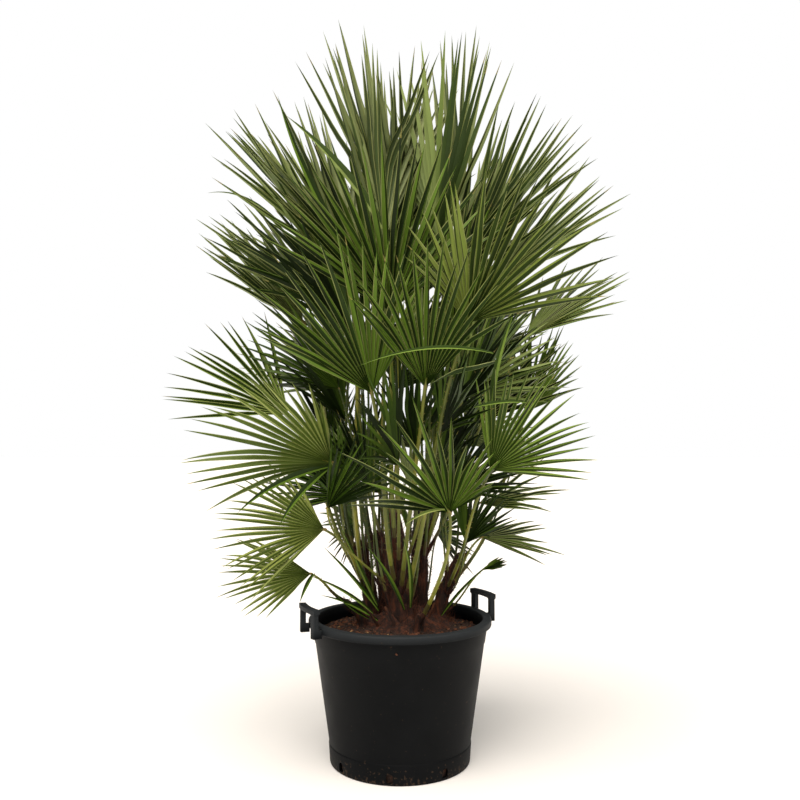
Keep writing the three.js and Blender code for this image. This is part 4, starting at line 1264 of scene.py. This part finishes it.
sheaths = sheathHeap.object("petioleSheaths", sheathFibre)
smooth(sheaths, 70)
settle(makeThreads("petioleSheathThreads", sheaths), "stem", *stemNodes)
settle(sheaths, "stem", *stemNodes)
for name, skin in petioleParts.items():
    petioles = petioleHeaps[name].object(name, skin)
    smooth(petioles, 60)
    settle(petioles, "frond", *frondNodes)

# Thorns: short cones with a broad foot, along both edges of every petiole.
thornRings = [[[thorn["foot"] / 2 * (1 - s) * math.cos(a) + 0.05 * math.cos(a),
                thorn["foot"] / 2 * (1 - s) * math.sin(a) + 0.05 * math.sin(a), thorn["length"] * s - 1]
               for a in around(3)] for s in (0, 0.5, 1)]
thornShape = meshObject("thorn shape", *loft(thornRings))
marks = markedMesh("petiole edges", edgePoints, edgeAims, None, edgeChains)
thorns = grownMesh("petioleThorns", marks, thornTree, {
    "Copy": thornShape, "Spacing": thorn["spacing"] * mm, "Smallest": 0.5, "Largest": 1.2,
    "Seed": thorn["seed"], "Material": thornHorn})
bpy.data.objects.remove(thornShape)
settle(thorns, "frond", *frondNodes)
print("stage: petioles and thorns")

# The hub's places along the leaf with their radii, and how thick it is for its width.
hubForm = {"profile": [(-8, 2), (-3, 4), (4, 4.2), (12, 2.2), (18, 0.5)], "flatness": 0.6, "sides": 8}
draw = randomFrom(plantSeed + 1)
heaps = {key: Heap() for key in leafMaterials}
dryHeap, hubHeap, marginHeap = Heap(), Heap(), Heap()
done, kept, crossed, skipped = Heap(), 0, 0, 0
for name, one in fronds.items():
    axes = one["axes"]
    petiolesBy = treeOfAll([shell for other, shell in petioleShells.items() if other != name])
    leavesBy = treeOf(np.concatenate(done.points), done.faces) if done.size else None
    mass = Heap()
    for row in leafletsOf(one, axes, draw):
        shade = int(draw() * 2)
        placed = fallback = None
        for lift in liftTries:
            probe = treeOf(*loft(leafletRings(one, axes, row, lift, *leaflet["coarseRings"])))
            if probe.overlap(petiolesBy):
                continue
            if fallback is None:
                fallback = lift
            if leavesBy is None or not probe.overlap(leavesBy):
                placed = lift
                break
        if placed is None and fallback is not None:
            placed = fallback
            crossed += 1
        if placed is None:
            skipped += 1
            continue
        kept += 1
        mass.add(*loft(leafletRings(one, axes, row, placed, *leaflet["coarseRings"])))
        rings = leafletRings(one, axes, row, placed, leaflet["webRings"], leaflet["freeRings"])
        if row["dry"]:
            cut = len(rings) - leaflet["dryFrom"]
            dryHeap.add(*loft(rings[cut:]))
            rings = rings[:cut + 1]
        # The half that faces the softbox gets a paler step as painted light, the other half a darker step as
        # painted shade.
        lit, shaded = leafletHalves(rings)
        heaps[one["tone"], shade].add(*loft(lit))
        heaps[one["tone"], shade + 2].add(*loft(shaded))
        if one["tone"] not in margin["without"]:
            for edge in (0, 2):
                marginHeap.add(*loft(marginRings(rings, edge)))
    if mass.size:
        done.add(np.concatenate(mass.points), mass.faces)
    knob = []
    for s, r in hubForm["profile"]:
        centre = np.array(one["hub"], float) + axes["axis"] * s * petioleScale(one)
        knob.append([centre + (axes["side"] * math.cos(a) + axes["face"] * math.sin(a) * hubForm["flatness"])
                     * -r * petioleScale(one) for a in around(hubForm["sides"])])
    hubHeap.add(*loft(knob))
print("leaflets kept", kept, "of which through others", crossed, "skipped", skipped)

# Leaflets that have bent, twisted or sagged out of their fans: foot, bend and tip, width and tone.
strays = [
    ([[185, -300, 900], [52, -372, 926], [-86, -360, 866]], 8.5, "bright"),
    ([[189, -180, 727], [178, -290, 887], [240, -300, 1012]], 13, "bright"),
    ([[150, -260, 794], [210, -290, 812], [268, -280, 800]], 8, "bright"),
    ([[-28, -60, 1197], [-113, -90, 1350], [-258, -95, 1460]], 22, "grey"),
    ([[-108, -75, 1137], [-228, -85, 1334], [-279, -80, 1512]], 16, "mid"),
    ([[-290, -20, 1244], [-375, -10, 1324], [-458, 0, 1310]], 6, "grey"),
    ([[-150, -160, 672], [-262, -205, 654], [-339, -210, 574]], 15, "mid"),
    ([[-150, -158, 670], [-218, -200, 622], [-250, -210, 548]], 14, "mid"),
    ([[-190, -95, 434], [-203, -140, 418], [-214, -150, 380]], 9, "mid"),
    ([[-50, -30, 318], [-105, -60, 368], [-178, -80, 384]], 8, "mid"),
    ([[-62, -10, 330], [-118, -40, 392], [-205, -60, 424]], 8, "bright"),
    ([[-48, -20, 338], [-96, -50, 415], [-172, -80, 492]], 9, "mid"),
    ([[-52, 0, 345], [-88, -20, 430], [-140, -60, 545]], 9, "bright"),
    ([[96, 20, 318], [140, -10, 392], [212, -30, 452]], 7, "mid"),
    ([[-70, -30, 322], [-118, -55, 352], [-150, -90, 398]], 7, "deep"),
    ([[24, -50, 350], [30, -120, 450], [6, -150, 520]], 9, "bright"),
    ([[10, -50, 345], [-20, -120, 440], [-70, -160, 500]], 9, "mid"),
    ([[92, -230, 586], [45, -250, 588], [8, -255, 554]], 7, "lime"),
]
strayForm = {"points": 13, "root": 0.45, "widens": 2.2, "tapersFrom": 0.35, "taper": 1.6, "fold": 0.7,
             "ribThins": 0.8, "upper": [0, -0.9, 0.45]}
for path, width, tone in strays:
    foot, bend, tip = (np.array(point, float) for point in path)
    rings = []
    for t in np.linspace(0, 1, strayForm["points"]):
        centre = foot * (1 - t) ** 2 + bend * 2 * t * (1 - t) + tip * t * t
        ahead = unit((bend - foot) * (1 - t) + (tip - bend) * t)
        across = unit(np.cross(strayForm["upper"], ahead))
        above = np.cross(ahead, across)
        past = max(0, (t - strayForm["tapersFrom"]) / (1 - strayForm["tapersFrom"]))
        half = width / 2 * min(1, strayForm["root"] + strayForm["widens"] * t)
        half *= 1 - past ** strayForm["taper"]
        fold = above * half * strayForm["fold"]
        rib = above * leaflet["rib"] * (1 - strayForm["ribThins"] * t)
        rings.append([centre + across * half, centre - fold, centre - across * half, centre - fold - rib])
    rings[-1] = [centre] * 4
    # As with the leaflets, the half facing the softbox is paler as painted light and the other half darker as
    # painted shade.
    lit, shaded = leafletHalves(np.array(rings))
    heaps[tone, 0].add(*loft(lit))
    heaps[tone, 2].add(*loft(shaded))
# One piece per tone and step: steps 1 and 2 are painted light, steps 3 and 4 painted shade.
for (toneName, step), heap in heaps.items():
    if heap.size:
        leaves = heap.object(f"{toneName}Leaflets_{step + 1}", leafMaterials[toneName, step])
        settle(leaves, "frond", *frondNodes)
settle(marginHeap.object("leafletMargins", leafMarginHighlight), "frond", *frondNodes)
settle(dryHeap.object("driedLeafletTips", dryLeaf), "frond", *frondNodes)
hubs = hubHeap.object("bladeHubs", hubWood)
smooth(hubs, 60)
settle(hubs, "frond", *frondNodes)
print("stage: fronds")
